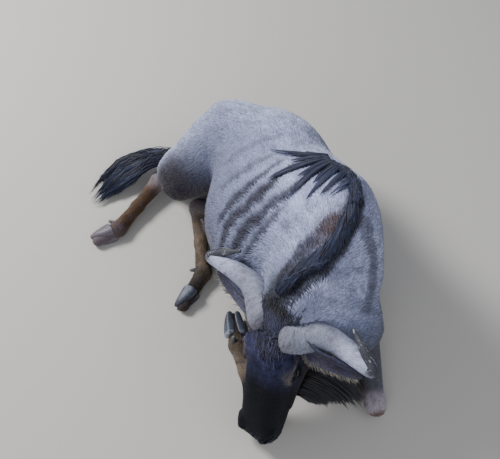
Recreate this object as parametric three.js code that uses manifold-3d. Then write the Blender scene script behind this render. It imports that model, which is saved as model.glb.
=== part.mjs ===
// A blue wildebeest, life size, at rest on its chest with both hind legs out to its right.
// Millimetres. +Z is up, the chest faces -Y and the animal's left side is towards +X.
// The origin is on the floor, under the barrel.
import * as THREE from "three";
import Module from "manifold-3d";

const wasm = await Module();
wasm.setup();

const { Vector3, Matrix3, Quaternion, CatmullRomCurve3, MathUtils } = THREE;
const V = (x, y, z) => new Vector3(x, y, z);
const UP = V(0, 0, 1);
const mix = (a, b, t) => a + (b - a) * t;
const clamp = MathUtils.clamp;
const SIDES = { left: 1, right: -1 };

// Clear space between neighbouring nodes.
const GAP = 0.3;
const FLOOR = 0;

// The trunk, from the buttock to the brisket.
// Each station is x, y, z, half width, height above the line, depth below it, roll, ridge.
const TRUNK = [
  [-375, 222, 168, 90, 60, 70, 60, 2],
  [-314, 250, 182, 145, 98, 90, 60, 2],
  [-190, 300, 196, 184, 174, 130, 60, 2],
  [-78, 218, 222, 210, 248, 215, 50, 2],
  [-4, 66, 254, 245, 252, 272, 34, 1.9],
  [44, -68, 284, 242, 322, 292, 20, 1.75],
  [98, -215, 306, 200, 418, 315, 14, 1.6],
  [104, -320, 318, 164, 335, 292, 10, 1.8],
  [96, -398, 330, 115, 200, 195, 10, 2],
];
const TRUNK_STEPS = 8;
// Where the trunk is parted, counted in steps from the buttock.
const LOIN_CUT = 25;
const RIB_CUT = 37;

// Joints of the limbs.
const LIMBS = {
  right: {
    hip: V(-175, 300, 290),
    stifle: V(-258, 262, 212),
    hock: V(-437, 302, 52),
    hindFetlock: V(-578, 108, 28),
    hindToe: V(-650, 62, 20),
    shoulderTop: V(150, -190, 600),
    shoulder: V(-12, -352, 335),
    elbow: V(-45, -262, 112),
    carpus: V(-88, -525, 33),
    foreFetlock: V(-143, -345, 27),
    foreToe: V(-160, -245, 22),
  },
  left: {
    hip: V(-170, 380, 112),
    stifle: V(-70, 140, 86),
    hock: V(-290, 190, 38),
    hindFetlock: V(-265, -74, 28),
    hindToe: V(-330, -195, 20),
    shoulderTop: V(185, -205, 600),
    shoulder: V(206, -402, 340),
    elbow: V(262, -262, 116),
    carpus: V(303, -550, 34),
    foreFetlock: V(205, -335, 27),
    foreToe: V(190, -235, 22),
  },
};
// Radii of the limbs, coat included.
const RADII = {
  elbow: 60, forearm: 38, carpus: 34, foreCannon: 23, foreFetlock: 28, forePastern: 23,
  stifle: 70, gaskin: 47, hock: 34, heel: 19, hindCannon: 24, hindFetlock: 29, hindPastern: 24,
};

// The head's own frame: along the face to the nose, out to its left, and out of the forehead.
const POLL = V(-29, -414, 451);
const HEAD_ALONG = V(-0.201, -0.569, -0.797).normalize();
const HEAD_LEFT = V(0.72, -0.645, 0.257).normalize();
const HEAD_OUT = HEAD_ALONG.clone().cross(HEAD_LEFT).normalize();
const HEAD_AXES = [HEAD_ALONG, HEAD_LEFT, HEAD_OUT];
// Distance along the face, half width, height and depth about a line set below the forehead.
const HEAD_LINE = -85;
const HEAD_RIDGE = 3;
const FACE = [
  [-12, 52, 62, 70],
  [30, 76, 84, 105],
  [90, 87, 92, 116],
  [150, 90, 95, 112],
  [200, 86, 93, 98],
  [255, 79, 88, 82],
  [320, 73, 82, 66],
  [380, 70, 76, 58],
  [420, 72, 69, 52],
  [442, 67, 56, 44],
  [456, 50, 37, 28],
];
const EYE = { along: 168, left: 78, out: -46, radius: 20 };
const NOSTRIL = { along: 432, left: 46, out: -44 };
const MOUTH_OUT = -112;

// Each horn, as along, left and out in the head's frame and its radius there.
const HORN = [
  [60, 24, -12, 42],
  [54, 51, -24, 48],
  [39, 83, -44, 48],
  [15, 124, -59, 43],
  [6, 185, -66, 34],
  [2, 262, -56, 27],
  [0, 312, -45, 18],
  [-15, 297, -49, 15],
  [-39, 264, -53, 13],
  [-67, 215, -61, 4],
];
// The left horn sweeps a little further forward than the right.
const HORN_SKEW = -0.063;

// Each ear, by the points of its midline and the way its cup opens, in the head's frame.
const EARS = {
  left: { line: [[46, 74, -52], [65, 138, -30], [69, 212, -51], [65, 283, -63]], opens: [0.36, 0.03, 0.93] },
  right: { line: [[38, -70, -60], [61, -133, -50], [50, -216, -62], [18, -281, -53]], opens: [0.36, -0.07, 0.93] },
};
const EAR = { half: 36, shell: 3, cup: 0.62 };

// Feet: a claw to each side of the line from fetlock to toe, with the way its sole faces.
const FEET = {
  fore_right: { limb: "right", end: "fore", sole: V(0.35, -0.25, 0.9) },
  fore_left: { limb: "left", end: "fore", sole: V(0, 0.2, 0.95) },
  hind_right: { limb: "right", end: "hind", sole: V(-0.35, 0.75, -0.3) },
  hind_left: { limb: "left", end: "hind", sole: V(-0.8, 0.35, -0.2) },
};
const CLAW = { length: 82, back: 64, wide: 17.5, deep: 24, apart: 18.5 };
const DEWCLAW = { length: 26, radius: 9, apart: 15 };

// Distance fields

// Runs forms together, with a soft seam of a given width.
function smoothUnion(blend, fields) {
  return (p) => {
    let d = fields[0](p);
    for (let i = 1; i < fields.length; i++) {
      const other = fields[i](p);
      const h = Math.max(blend - Math.abs(d - other), 0) / blend;
      d = Math.min(d, other) - h * h * blend * 0.25;
    }
    return d;
  };
}

// A ball of radius ra at a, one of radius rb at b, and the cone that touches both.
function roundCone(a, b, ra, rb) {
  const axis = b.clone().sub(a);
  const length = axis.length();
  axis.divideScalar(length);
  const slope = (ra - rb) / length;
  const rise = Math.sqrt(Math.max(1 - slope * slope, 1e-6));
  const pa = V(0, 0, 0);
  return (p) => {
    pa.copy(p).sub(a);
    const along = pa.dot(axis);
    const out = Math.sqrt(Math.max(pa.lengthSq() - along * along, 0));
    const t = clamp((along + (out * slope) / rise) / length, 0, 1);
    return Math.hypot(out, along - t * length) - mix(ra, rb, t);
  };
}

// An ellipsoid with half sizes along three unit axes.
function ellipsoid(centre, axes, sizes) {
  const q = V(0, 0, 0);
  return (p) => {
    q.copy(p).sub(centre);
    const parts = axes.map((axis) => q.dot(axis));
    const k0 = Math.hypot(...parts.map((v, i) => v / sizes[i]));
    const k1 = Math.hypot(...parts.map((v, i) => v / (sizes[i] * sizes[i])));
    return k1 < 1e-9 ? -Math.min(...sizes) : (k0 * (k0 - 1)) / k1;
  };
}

// A smooth value through a list, read at a place counted in list steps.
function through(values, place) {
  const last = values.length - 1;
  const i = clamp(Math.floor(place), 0, last - 1);
  const t = place - i;
  const [a, b, c, d] = [-1, 0, 1, 2].map((k) => values[clamp(i + k, 0, last)]);
  const bend = 2 * a - 5 * b + 4 * c - d;
  const turn = 3 * b - a - 3 * c + d;
  return 0.5 * (2 * b + (c - a) * t + bend * t * t + turn * t * t * t);
}

// The frames of a body that follows a line of stations.
function framesOf(stations, steps, side) {
  const points = stations.map((s) => V(...s.slice(0, 3)));
  const line = new CatmullRomCurve3(points, false, "centripetal");
  const count = (stations.length - 1) * steps;
  const frames = [];
  for (let i = 0; i <= count; i++) {
    const u = i / count;
    const [wide, top, bottom, roll, ridge] = [3, 4, 5, 6, 7].map((column) =>
      through(stations.map((s) => s[column]), i / steps));
    const forward = line.getTangent(u).normalize();
    const level = (side ?? UP.clone().cross(forward)).clone().normalize();
    const upright = forward.clone().cross(level).normalize();
    const turn = MathUtils.degToRad(roll);
    const [cos, sin] = [Math.cos(turn), Math.sin(turn)];
    frames.push({
      at: line.getPoint(u),
      forward,
      left: level.clone().multiplyScalar(cos).addScaledVector(upright, -sin),
      dorsal: upright.clone().multiplyScalar(cos).addScaledVector(level, sin),
      wide, top, bottom, ridge,
    });
  }
  return frames;
}

// The distance to a body of such frames: full ovals, with a rounded end at each end.
// The frames near a point share it out, so that the inside of a bend stays smooth.
function sweptField(frames) {
  const SHARE = 45;
  const END_CAP = 0.6;
  const UNDER = 2.2;
  const FEWEST = 0.02;
  const last = frames.length - 1;
  const q = V(0, 0, 0);
  const squares = new Array(frames.length);
  return (p) => {
    let near = 0;
    frames.forEach((f, i) => {
      squares[i] = p.distanceToSquared(f.at);
      if (squares[i] < squares[near]) near = i;
    });
    const ahead = q.copy(p).sub(frames[near].at).dot(frames[near].forward);
    const past = (near === 0 && ahead < 0) || (near === last && ahead > 0);
    let [total, u, v, wide, top, bottom, ridge] = [0, 0, 0, 0, 0, 0, 0];
    frames.forEach((f, i) => {
      const weight = past ? Number(i === near) : Math.exp((squares[near] - squares[i]) / (SHARE * SHARE));
      if (weight < FEWEST) return;
      q.copy(p).sub(f.at);
      total += weight;
      u += weight * q.dot(f.left);
      v += weight * q.dot(f.dorsal);
      wide += weight * f.wide;
      top += weight * f.top;
      bottom += weight * f.bottom;
      ridge += weight * f.ridge;
    });
    [u, v, wide, top, bottom, ridge] = [u, v, wide, top, bottom, ridge].map((sum) => sum / total);
    const high = v > 0 ? top : bottom;
    const power = v > 0 ? ridge : UNDER;
    const rho = Math.hypot(u, v);
    const oval = Math.pow(Math.pow(Math.abs(u) / wide, power) + Math.pow(Math.abs(v) / high, power), 1 / power);
    const reach = rho < 1e-6 ? Math.min(wide, high) : rho / oval;
    if (!past) return rho - reach;
    const cap = Math.min(wide, high) * END_CAP;
    return (Math.hypot(rho / reach, ahead / cap) - 1) * Math.min(reach, cap);
  };
}

// The direction in which a field grows.
function slopeOf(field, p, step = 1) {
  const rise = ["x", "y", "z"].map((axis) => {
    const [a, b] = [p.clone(), p.clone()];
    a[axis] += step;
    b[axis] -= step;
    return (field(a) - field(b)) / (2 * step);
  });
  return V(...rise);
}

// Solids

function solidOf(points, faces) {
  const mesh = new wasm.Mesh({
    numProp: 3,
    vertProperties: new Float32Array(points.flatMap((p) => [p.x, p.y, p.z])),
    triVerts: new Uint32Array(faces.flat()),
  });
  return new wasm.Manifold(mesh);
}

function facingOut(points, faces) {
  const solid = solidOf(points, faces);
  return solid.volume() < 0 ? solidOf(points, faces.map(([a, b, c]) => [a, c, b])) : solid;
}

// The points and the triangles of a solid.
function partsOf(solid) {
  const mesh = solid.getMesh();
  const points = [];
  for (let i = 0; i < mesh.vertProperties.length; i += 3) points.push(V(...mesh.vertProperties.slice(i, i + 3)));
  const faces = [];
  for (let i = 0; i < mesh.triVerts.length; i += 3) faces.push([...mesh.triVerts.slice(i, i + 3)]);
  return { points, faces };
}

// The same solid with its whole surface moved out by a distance.
// Each corner moves to where all the faces that meet there have moved by that distance.
function grow(solid, by = GAP) {
  const SOFT = 2e-3;
  const FARTHEST = 4;
  const { points, faces } = partsOf(solid);
  const sums = points.map(() => [0, 0, 0, 0, 0, 0, 0, 0, 0]);
  const [u, v, n] = [V(0, 0, 0), V(0, 0, 0), V(0, 0, 0)];
  for (const face of faces) {
    face.forEach((corner, i) => {
      u.copy(points[face[(i + 1) % 3]]).sub(points[corner]);
      v.copy(points[face[(i + 2) % 3]]).sub(points[corner]);
      const weight = u.angleTo(v);
      n.copy(u).cross(v).normalize();
      if (!Number.isFinite(weight)) return;
      const terms = [n.x * n.x, n.x * n.y, n.x * n.z, n.y * n.y, n.y * n.z, n.z * n.z, n.x, n.y, n.z];
      terms.forEach((term, k) => (sums[corner][k] += term * weight));
    });
  }
  const matrix = new Matrix3();
  return solidOf(points.map((p, i) => {
    const [xx, xy, xz, yy, yz, zz, x, y, z] = sums[i];
    const soft = SOFT * (xx + yy + zz) + 1e-9;
    matrix.set(xx + soft, xy, xz, xy, yy + soft, yz, xz, yz, zz + soft).invert();
    const move = V(x, y, z).applyMatrix3(matrix).multiplyScalar(by).clampLength(0, FARTHEST * by);
    return p.add(move);
  }), faces);
}

// A solid from a closed three.js geometry, with its shared corners merged.
function shapeSolid(geometry) {
  const source = geometry.getIndex() ? geometry.toNonIndexed() : geometry;
  const position = source.getAttribute("position");
  const found = new Map();
  const points = [];
  const corner = (i) => {
    const p = V(0, 0, 0).fromBufferAttribute(position, i);
    const key = p.toArray().map((v) => Math.round(v * 1000)).join();
    if (!found.has(key)) {
      found.set(key, points.length);
      points.push(p);
    }
    return found.get(key);
  };
  const faces = [];
  for (let i = 0; i < position.count; i += 3) faces.push([corner(i), corner(i + 1), corner(i + 2)]);
  return solidOf(points, faces.filter(([a, b, c]) => a !== b && b !== c && a !== c));
}

// The surface of a field as a net of one point a cell, each point drawn onto the field.
function netSolid(field, low, high, cell) {
  const PULLS = 5;
  const FARTHEST = 0.15;
  const size = ["x", "y", "z"].map((axis) => Math.ceil((high[axis] - low[axis]) / cell) + 1);
  const index = (i, j, k) => (k * size[1] + j) * size[0] + i;
  const place = (i, j, k) => V(low.x + i * cell, low.y + j * cell, low.z + k * cell);
  const eachCell = (first, visit) => {
    for (let k = first; k + 1 < size[2]; k++)
      for (let j = first; j + 1 < size[1]; j++)
        for (let i = first; i + 1 < size[0]; i++) visit(i, j, k);
  };
  const values = [];
  for (let k = 0; k < size[2]; k++)
    for (let j = 0; j < size[1]; j++)
      for (let i = 0; i < size[0]; i++) values.push(field(place(i, j, k)));
  const points = [];
  const vertexOf = new Map();
  const corners = [[0, 0, 0], [1, 0, 0], [0, 1, 0], [1, 1, 0], [0, 0, 1], [1, 0, 1], [0, 1, 1], [1, 1, 1]];
  const edges = corners.flatMap((c, a) => [1, 2, 4].filter((bit) => !(a & bit)).map((bit) => [a, a | bit]));
  eachCell(0, (i, j, k) => {
    const at = corners.map(([a, b, c]) => values[index(i + a, j + b, k + c)]);
    const crossed = edges.filter(([a, b]) => at[a] < 0 !== at[b] < 0);
    if (!crossed.length) return;
    const spots = corners.map(([a, b, c]) => place(i + a, j + b, k + c));
    const p = V(0, 0, 0);
    crossed.forEach(([a, b]) => p.add(spots[a].clone().lerp(spots[b], at[a] / (at[a] - at[b]))));
    p.divideScalar(crossed.length);
    for (let pull = 0; pull < PULLS; pull++) {
      const n = slopeOf(field, p, 0.5);
      p.add(n.multiplyScalar(-field(p) / Math.max(n.lengthSq(), 0.2)).clampLength(0, cell * FARTHEST));
    }
    vertexOf.set(index(i, j, k), points.length);
    points.push(p);
  });
  const faces = [];
  const quad = ([a, b, c, d]) => {
    const short = points[a].distanceTo(points[c]) < points[b].distanceTo(points[d]);
    if (short) faces.push([a, b, c], [a, c, d]);
    else faces.push([a, b, d], [b, c, d]);
  };
  const STEPS = [[1, 0, 0], [0, 1, 0], [0, 0, 1]];
  eachCell(1, (i, j, k) => {
    STEPS.forEach(([a, b, c], axis) => {
      const here = values[index(i, j, k)] < 0;
      if (here === values[index(i + a, j + b, k + c)] < 0) return;
      const [u, v] = [STEPS[(axis + 1) % 3], STEPS[(axis + 2) % 3]];
      const around = [[0, 0], [1, 0], [1, 1], [0, 1]].map(([m, n]) =>
        vertexOf.get(index(i - m * u[0] - n * v[0], j - m * u[1] - n * v[1], k - m * u[2] - n * v[2])));
      quad(here ? around.reverse() : around);
    });
  });
  return facingOut(points, faces);
}

// Closes a run of rings, each with the same number of points, into one solid.
function loft(rings) {
  const n = rings[0].length;
  const points = rings.flat();
  const faces = [];
  for (let r = 0; r + 1 < rings.length; r++) {
    for (let i = 0; i < n; i++) {
      const a = r * n + i;
      const b = r * n + ((i + 1) % n);
      faces.push([a, b, b + n], [a, b + n, a + n]);
    }
  }
  const middle = (ring) => ring.reduce((sum, p) => sum.add(p), V(0, 0, 0)).divideScalar(n);
  points.push(middle(rings[0]), middle(rings.at(-1)));
  const [first, end] = [points.length - 2, points.length - 1];
  const start = (rings.length - 1) * n;
  for (let i = 0; i < n; i++) {
    const j = (i + 1) % n;
    faces.push([first, j, i], [end, start + i, start + j]);
  }
  return facingOut(points, faces);
}

// Finds where a ray from inside a field first leaves it.
function leave(field, from, direction) {
  const REACH = 900;
  const STEP = 6;
  const HALVINGS = 14;
  const p = V(0, 0, 0);
  const inside = (t) => field(p.copy(from).addScaledVector(direction, t)) < 0;
  let t = 0;
  while (t < REACH && inside(t + STEP)) t += STEP;
  let [low, high] = [t, t + STEP];
  for (let i = 0; i < HALVINGS; i++) {
    const half = (low + high) / 2;
    if (inside(half)) low = half;
    else high = half;
  }
  return from.clone().addScaledVector(direction, low);
}

// A solid made of rings: each ring lies across a frame and its points lie on the field.
function ringSolid(field, frames, segments) {
  return loft(frames.map((f) => {
    const ring = [];
    for (let i = 0; i < segments; i++) {
      const a = (i / segments) * Math.PI * 2;
      const direction = f.left.clone().multiplyScalar(Math.cos(a)).addScaledVector(f.dorsal, Math.sin(a));
      ring.push(leave(field, f.at, direction));
    }
    return ring;
  }));
}

// The frames along a line of joints, with rings close together over a rounded end.
function alongJoints(joints, rings, endRadius) {
  const CLOSING = [0.45, 0.78, 0.96];
  const line = new CatmullRomCurve3(joints, false, "centripetal");
  const frames = [];
  for (let i = 0; i <= rings; i++) {
    const forward = line.getTangentAt(i / rings).normalize();
    const left = forward.clone().cross(UP).normalize();
    frames.push({ at: line.getPointAt(i / rings), forward, left, dorsal: left.clone().cross(forward) });
  }
  const end = frames.at(-1);
  for (const share of endRadius ? CLOSING : []) {
    frames.push({ ...end, at: end.at.clone().addScaledVector(end.forward, share * endRadius) });
  }
  return frames;
}

// A closed tube through a list of points, whose cross section is an oval set square to a given way.
function tube(points, halfWide, halfThick, facing, sides, rings) {
  const line = new CatmullRomCurve3(points, false, "centripetal");
  const sections = [];
  for (let i = 0; i <= rings; i++) {
    const u = i / rings;
    const forward = line.getTangentAt(u);
    const across = forward.clone().cross(facing).normalize();
    const up = across.clone().cross(forward).normalize();
    const section = [];
    for (let k = 0; k < sides; k++) {
      const a = (k / sides) * Math.PI * 2;
      section.push(line.getPointAt(u)
        .addScaledVector(across, halfWide(u) * Math.cos(a))
        .addScaledVector(up, halfThick(u) * Math.sin(a)));
    }
    sections.push(section);
  }
  return loft(sections);
}

// A block that lies ahead of a plane.
function ahead(at, forward) {
  const SPAN = 3000;
  const geometry = new THREE.BoxGeometry(SPAN, SPAN, SPAN);
  const turn = new Quaternion().setFromUnitVectors(UP, forward.clone().normalize());
  geometry.translate(0, 0, SPAN / 2).applyQuaternion(turn).translate(...at.toArray());
  return shapeSolid(geometry);
}

const ball = (at, radius, detail) =>
  shapeSolid(new THREE.IcosahedronGeometry(radius, detail).translate(...at.toArray()));
const union = (solids) => solids.reduce((all, one) => all.add(one));

// Places in the head's frame
const inHead = (along, left, out) =>
  POLL.clone()
    .addScaledVector(HEAD_ALONG, along)
    .addScaledVector(HEAD_LEFT, left)
    .addScaledVector(HEAD_OUT, out);
const headWay = (along, left, out) => inHead(along, left, out).sub(POLL);
const bothSides = (make) => Object.values(SIDES).map(make);

// The trunk, haunches, shoulders and neck
const { right, left } = LIMBS;
const trunkFrames = framesOf(TRUNK, TRUNK_STEPS);
const body = smoothUnion(60, [
  sweptField(trunkFrames),
  roundCone(right.hip, right.stifle, 125, 70),
  roundCone(V(-175, 330, 268), V(-325, 240, 215), 122, 82),
  roundCone(left.hip, V(-95, 235, 98), 104, 88),
  roundCone(right.shoulderTop, right.shoulder, 55, 68),
  roundCone(left.shoulderTop, left.shoulder, 55, 72),
  roundCone(right.shoulder, right.elbow, 66, 64),
  roundCone(left.shoulder, left.elbow, 72, 66),
]);
const neckField = smoothUnion(50, [
  roundCone(V(180, -232, 655), V(158, -276, 606), 48, 55),
  roundCone(V(158, -276, 606), V(110, -327, 539), 55, 60),
  roundCone(V(110, -327, 539), V(45, -352, 478), 60, 66),
  roundCone(V(125, -265, 420), V(45, -350, 430), 138, 88),
  roundCone(V(105, -345, 330), V(62, -365, 385), 118, 78),
]);
const flesh = smoothUnion(60, [body, neckField]);
const FLESH_CELL = 46;
const bodySolid = netSolid(flesh, V(-510, -580, -70), V(380, 520, 800), FLESH_CELL);
const neckBall = shapeSolid(new THREE.IcosahedronGeometry(185, 3).translate(10, -390, 440));

// The head
const faceFrames = framesOf(
  FACE.map(([along, wide, top, bottom]) =>
    [...inHead(along, 0, HEAD_LINE).toArray(), wide, top, bottom, 0, HEAD_RIDGE]),
  4, HEAD_LEFT);
const headField = smoothUnion(18, [
  sweptField(faceFrames),
  ...bothSides((sign) => ellipsoid(inHead(EYE.along - 8, sign * 72, -34), HEAD_AXES, [42, 20, 24])),
  ...bothSides((sign) => ellipsoid(inHead(425, sign * 47, -48), HEAD_AXES, [30, 20, 26])),
]);

// Two folds that run from corner to corner of an eye, over the ball.
function lids(sign) {
  const LID = 2.5;
  const centre = inHead(EYE.along, sign * EYE.left, EYE.out);
  const arc = (rise) => [...Array(7).keys()].map((i) => {
    const a = mix(-1, 1, i / 6);
    const way = headWay(a * 22, sign * (20 - 9 * a * a), rise * 15 * (1 - a * a));
    return centre.clone().add(way.setLength(EYE.radius + LID));
  });
  const facing = HEAD_LEFT.clone().multiplyScalar(sign);
  return [1, -1].map((rise) => tube(arc(rise), () => 5, () => 4.5, facing, 5, 7));
}

// The line of the mouth: a thin band cut in round the muzzle from corner to corner.
function mouth() {
  const line = [[360, 74, 6], [395, 74, 0], [428, 70, 0], [450, 46, 0], [462, 0, 0]];
  const half = (sign, points) => points.map(([along, side, rise]) => inHead(along, sign * side, MOUTH_OUT + rise));
  return tube([...half(1, line), ...half(-1, line.slice(0, -1)).reverse()], () => 14, () => 2.2, HEAD_OUT, 4, 16);
}

// A nostril: a slanting slot with full edges.
function nostril(sign) {
  const centre = inHead(NOSTRIL.along, sign * NOSTRIL.left, NOSTRIL.out);
  const points = [-1, -0.3, 0.4, 1].map((t) =>
    centre.clone().add(headWay(t * 15, sign * (14 - 6 * Math.abs(t)), 5 - 7 * t * t)));
  return tube(points, (u) => 3 + 6 * Math.sin(Math.PI * u), (u) => 3 + 6 * Math.sin(Math.PI * u), HEAD_OUT, 7, 5);
}

function head() {
  const RING_STEP = 3;
  const frames = faceFrames.filter((f, i) => i % RING_STEP === 0 || i === faceFrames.length - 1);
  frames[0] = { ...frames[0], at: frames[0].at.clone().addScaledVector(HEAD_ALONG, -10) };
  const nose = frames.at(-1);
  for (const past of [7, 13]) frames.push({ ...nose, at: nose.at.clone().addScaledVector(HEAD_ALONG, past) });
  const lidded = union([ringSolid(headField, frames, 24), ...bothSides(lids).flat()]);
  return [mouth(), ...bothSides(nostril)].reduce((rest, cut) => rest.subtract(cut), lidded);
}

// An ear: a cupped leaf, full at its root and pointed at its tip.
function ear({ line, opens }) {
  const RINGS = 9;
  const ACROSS = 6;
  const CLOSED = 0.14;
  const curve = new CatmullRomCurve3(line.map((p) => inHead(...p)));
  const open = headWay(...opens).normalize();
  const sections = [];
  for (let i = 0; i <= RINGS; i++) {
    const u = i / RINGS;
    const forward = curve.getTangentAt(u);
    const across = forward.clone().cross(open).normalize();
    const up = across.clone().cross(forward).normalize();
    const wide = Math.max(EAR.half * Math.min(0.62 + 1.5 * u, 1) * Math.sqrt(Math.max(1 - u ** 2.4, 0)), 3);
    const shell = Math.min(EAR.shell, wide * 0.4);
    const arc = (radius, depth) => [...Array(ACROSS).keys()].map((k) => {
      const a = mix(-1.4, 1.4, k / (ACROSS - 1));
      return curve.getPointAt(u)
        .addScaledVector(across, radius * Math.sin(a))
        .addScaledVector(up, EAR.cup * (0.5 * wide - depth * Math.cos(a)));
    });
    const inner = u < CLOSED ? arc(wide * 0.75, -wide * 0.4) : arc(wide - shell, wide - shell / EAR.cup);
    sections.push([...arc(wide, wide), ...inner.reverse()]);
  }
  return loft(sections);
}

// A horn: from a broad boss out, down and up to a worn tip.
function horn(sign) {
  const RINGS = 15;
  const ROUND = 9;
  const FLATTER = 0.94;
  const points = HORN.map(([a, l, o]) => inHead(a - sign * HORN_SKEW * l, sign * l, o));
  const line = new CatmullRomCurve3(points, false, "centripetal");
  const rings = [];
  for (let i = 0; i <= RINGS; i++) {
    const u = i / RINGS;
    const radius = through(HORN.map((row) => row[3]), u * (HORN.length - 1));
    const across = line.getTangent(u).cross(HEAD_OUT).normalize();
    const up = across.clone().cross(line.getTangent(u)).normalize();
    rings.push([...Array(ROUND).keys()].map((k) => {
      const a = (k / ROUND) * Math.PI * 2;
      return line.getPoint(u)
        .addScaledVector(across, radius * Math.cos(a))
        .addScaledVector(up, radius * FLATTER * Math.sin(a));
    }));
  }
  return loft(rings);
}

// The legs below the trunk
const SEAM = 16;
function forearm(j) {
  const middle = j.elbow.clone().lerp(j.carpus, 0.62);
  const field = smoothUnion(SEAM, [
    roundCone(j.elbow, middle, RADII.elbow, RADII.forearm),
    roundCone(middle, j.carpus, RADII.forearm, RADII.carpus - 3),
    roundCone(j.carpus, j.carpus.clone().lerp(j.elbow, 0.1), RADII.carpus, RADII.carpus - 2),
  ]);
  return ringSolid(field, alongJoints([j.elbow, j.carpus], 6, RADII.carpus), 10);
}
function foreCannon(j) {
  const middle = j.carpus.clone().lerp(j.foreFetlock, 0.5);
  const pastern = j.foreFetlock.clone().lerp(j.foreToe, 0.5);
  const field = smoothUnion(SEAM, [
    roundCone(j.carpus, middle, RADII.carpus - 5, RADII.foreCannon),
    roundCone(middle, j.foreFetlock, RADII.foreCannon, RADII.foreFetlock),
    roundCone(j.foreFetlock, j.foreToe, RADII.foreFetlock, RADII.forePastern),
  ]);
  return ringSolid(field, alongJoints([j.carpus, middle, j.foreFetlock, pastern], 8), 10);
}
function gaskin(j) {
  const middle = j.stifle.clone().lerp(j.hock, 0.55);
  const field = smoothUnion(SEAM, [
    roundCone(j.stifle, middle, RADII.stifle, RADII.gaskin),
    roundCone(middle, j.hock, RADII.gaskin, RADII.hock),
  ]);
  return ringSolid(field, alongJoints([j.stifle, j.hock], 6, RADII.hock), 10);
}
function hindCannon(j) {
  const middle = j.hock.clone().lerp(j.hindFetlock, 0.5);
  const pastern = j.hindFetlock.clone().lerp(j.hindToe, 0.5);
  const field = smoothUnion(SEAM, [
    roundCone(j.hock, middle, RADII.hock - 2, RADII.hindCannon),
    roundCone(middle, j.hindFetlock, RADII.hindCannon, RADII.hindFetlock),
    roundCone(j.hindFetlock, j.hindToe, RADII.hindFetlock, RADII.hindPastern),
  ]);
  return ringSolid(field, alongJoints([j.hock, middle, j.hindFetlock, pastern], 9), 10);
}

// The axes of a foot: forward to the toe, across it, and down to the sole.
function footAxes({ limb, end, sole }) {
  const from = LIMBS[limb][`${end}Fetlock`];
  const to = LIMBS[limb][`${end}Toe`];
  const forward = to.clone().sub(from).normalize();
  const across = forward.clone().cross(sole).normalize();
  const down = across.clone().cross(forward).normalize();
  if (down.dot(sole) < 0) down.negate();
  return { from, to, forward, across, down };
}

// A claw: a blunt wedge from the crown of the hoof to the toe.
// Each row is a share of the length, of the width and of the depth, and how far the middle has dropped.
const CLAW_PROFILE = [
  [0, 0.86, 0.86, 0],
  [0.12, 1, 1, 0.02],
  [0.45, 1, 0.84, 0.16],
  [0.75, 0.82, 0.58, 0.42],
  [0.95, 0.5, 0.3, 0.66],
  [1, 0.28, 0.16, 0.74],
];
function claw(foot, sign) {
  const AROUND = 8;
  const SQUARE = 0.7;
  const CLOSING = 0.25;
  const { to, forward, across, down } = footAxes(foot);
  const square = (v) => Math.sign(v) * Math.abs(v) ** SQUARE;
  return loft(CLAW_PROFILE.map(([along, wide, deep, drop]) => {
    const at = to.clone()
      .addScaledVector(forward, along * CLAW.length - CLAW.back)
      .addScaledVector(across, sign * CLAW.apart * (1 - CLOSING * along))
      .addScaledVector(down, drop * CLAW.deep);
    return [...Array(AROUND).keys()].map((k) => {
      const a = (k / AROUND) * Math.PI * 2;
      return at.clone()
        .addScaledVector(across, square(Math.cos(a)) * CLAW.wide * wide)
        .addScaledVector(down, square(Math.sin(a)) * CLAW.deep * deep);
    });
  }));
}

// A dewclaw: a small blunt horn behind the fetlock.
function dewclaw(foot, sign) {
  const { from, forward, across, down } = footAxes(foot);
  const radius = foot.end === "fore" ? RADII.foreFetlock : RADII.hindFetlock;
  const root = from.clone().addScaledVector(across, sign * DEWCLAW.apart).addScaledVector(down, radius * 0.55);
  const way = down.clone().addScaledVector(forward, 0.7).addScaledVector(across, sign * 0.3).normalize();
  const reach = radius * 0.45 + DEWCLAW.length * 0.7;
  const points = [0, 0.5, 1].map((t) => root.clone().addScaledVector(way, t * reach));
  return tube(points, (u) => DEWCLAW.radius * (1 - 0.45 * u * u), (u) => DEWCLAW.radius * (0.8 - 0.35 * u * u),
    across, 6, 3);
}

// Long hair

// A repeatable run of numbers from 0 to 1.
function drawsOf(seed) {
  let state = seed;
  return () => {
    state = (state * 1103515245 + 12345) % 2147483648;
    return state / 2147483648;
  };
}

// A path that sets off from a root and follows a surface at a given height above it, sagging as it goes.
function overSurface(field, root, flow, length, lift, sag) {
  const STEPS = 5;
  const HOLD = 0.9;
  const LOWEST = 6;
  const way = flow.clone().normalize();
  const path = [root.clone()];
  const p = root.clone();
  for (let i = 1; i <= STEPS; i++) {
    way.z -= sag / STEPS;
    p.addScaledVector(way.normalize(), length / STEPS);
    p.addScaledVector(slopeOf(field, p).normalize(), (lift(i / STEPS) - field(p)) * HOLD);
    way.copy(p).sub(path.at(-1)).normalize();
    p.z = Math.max(p.z, LOWEST);
    path.push(p.clone());
  }
  return path;
}

// A lock: a flat tapered blade along a path, lying flat to a given way out.
const lock = (path, wide, thick, out) =>
  tube(path, (u) => wide * (0.6 + 1.3 * u - 1.9 * u * u) + 0.6, (u) => thick * (1 - 0.85 * u), out, 4, 4);

const TRUNK_CREST = trunkFrames.slice(36, 53).map((f) => ({
  at: leave(flesh, f.at, f.dorsal), out: f.dorsal, along: f.forward, left: f.left,
}));
const NECK_LINE = new CatmullRomCurve3([
  V(8, -368, 448), V(52, -350, 478), V(112, -325, 535), V(162, -274, 600), V(190, -226, 640),
]);
const NECK_CREST = [...Array(10).keys()].map((i) => {
  const along = NECK_LINE.getTangentAt(i / 9).negate();
  const leftward = UP.clone().cross(along).normalize();
  const out = along.clone().cross(leftward).normalize();
  return { at: leave(flesh, NECK_LINE.getPointAt(i / 9), out), out, along, left: leftward };
});

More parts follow.
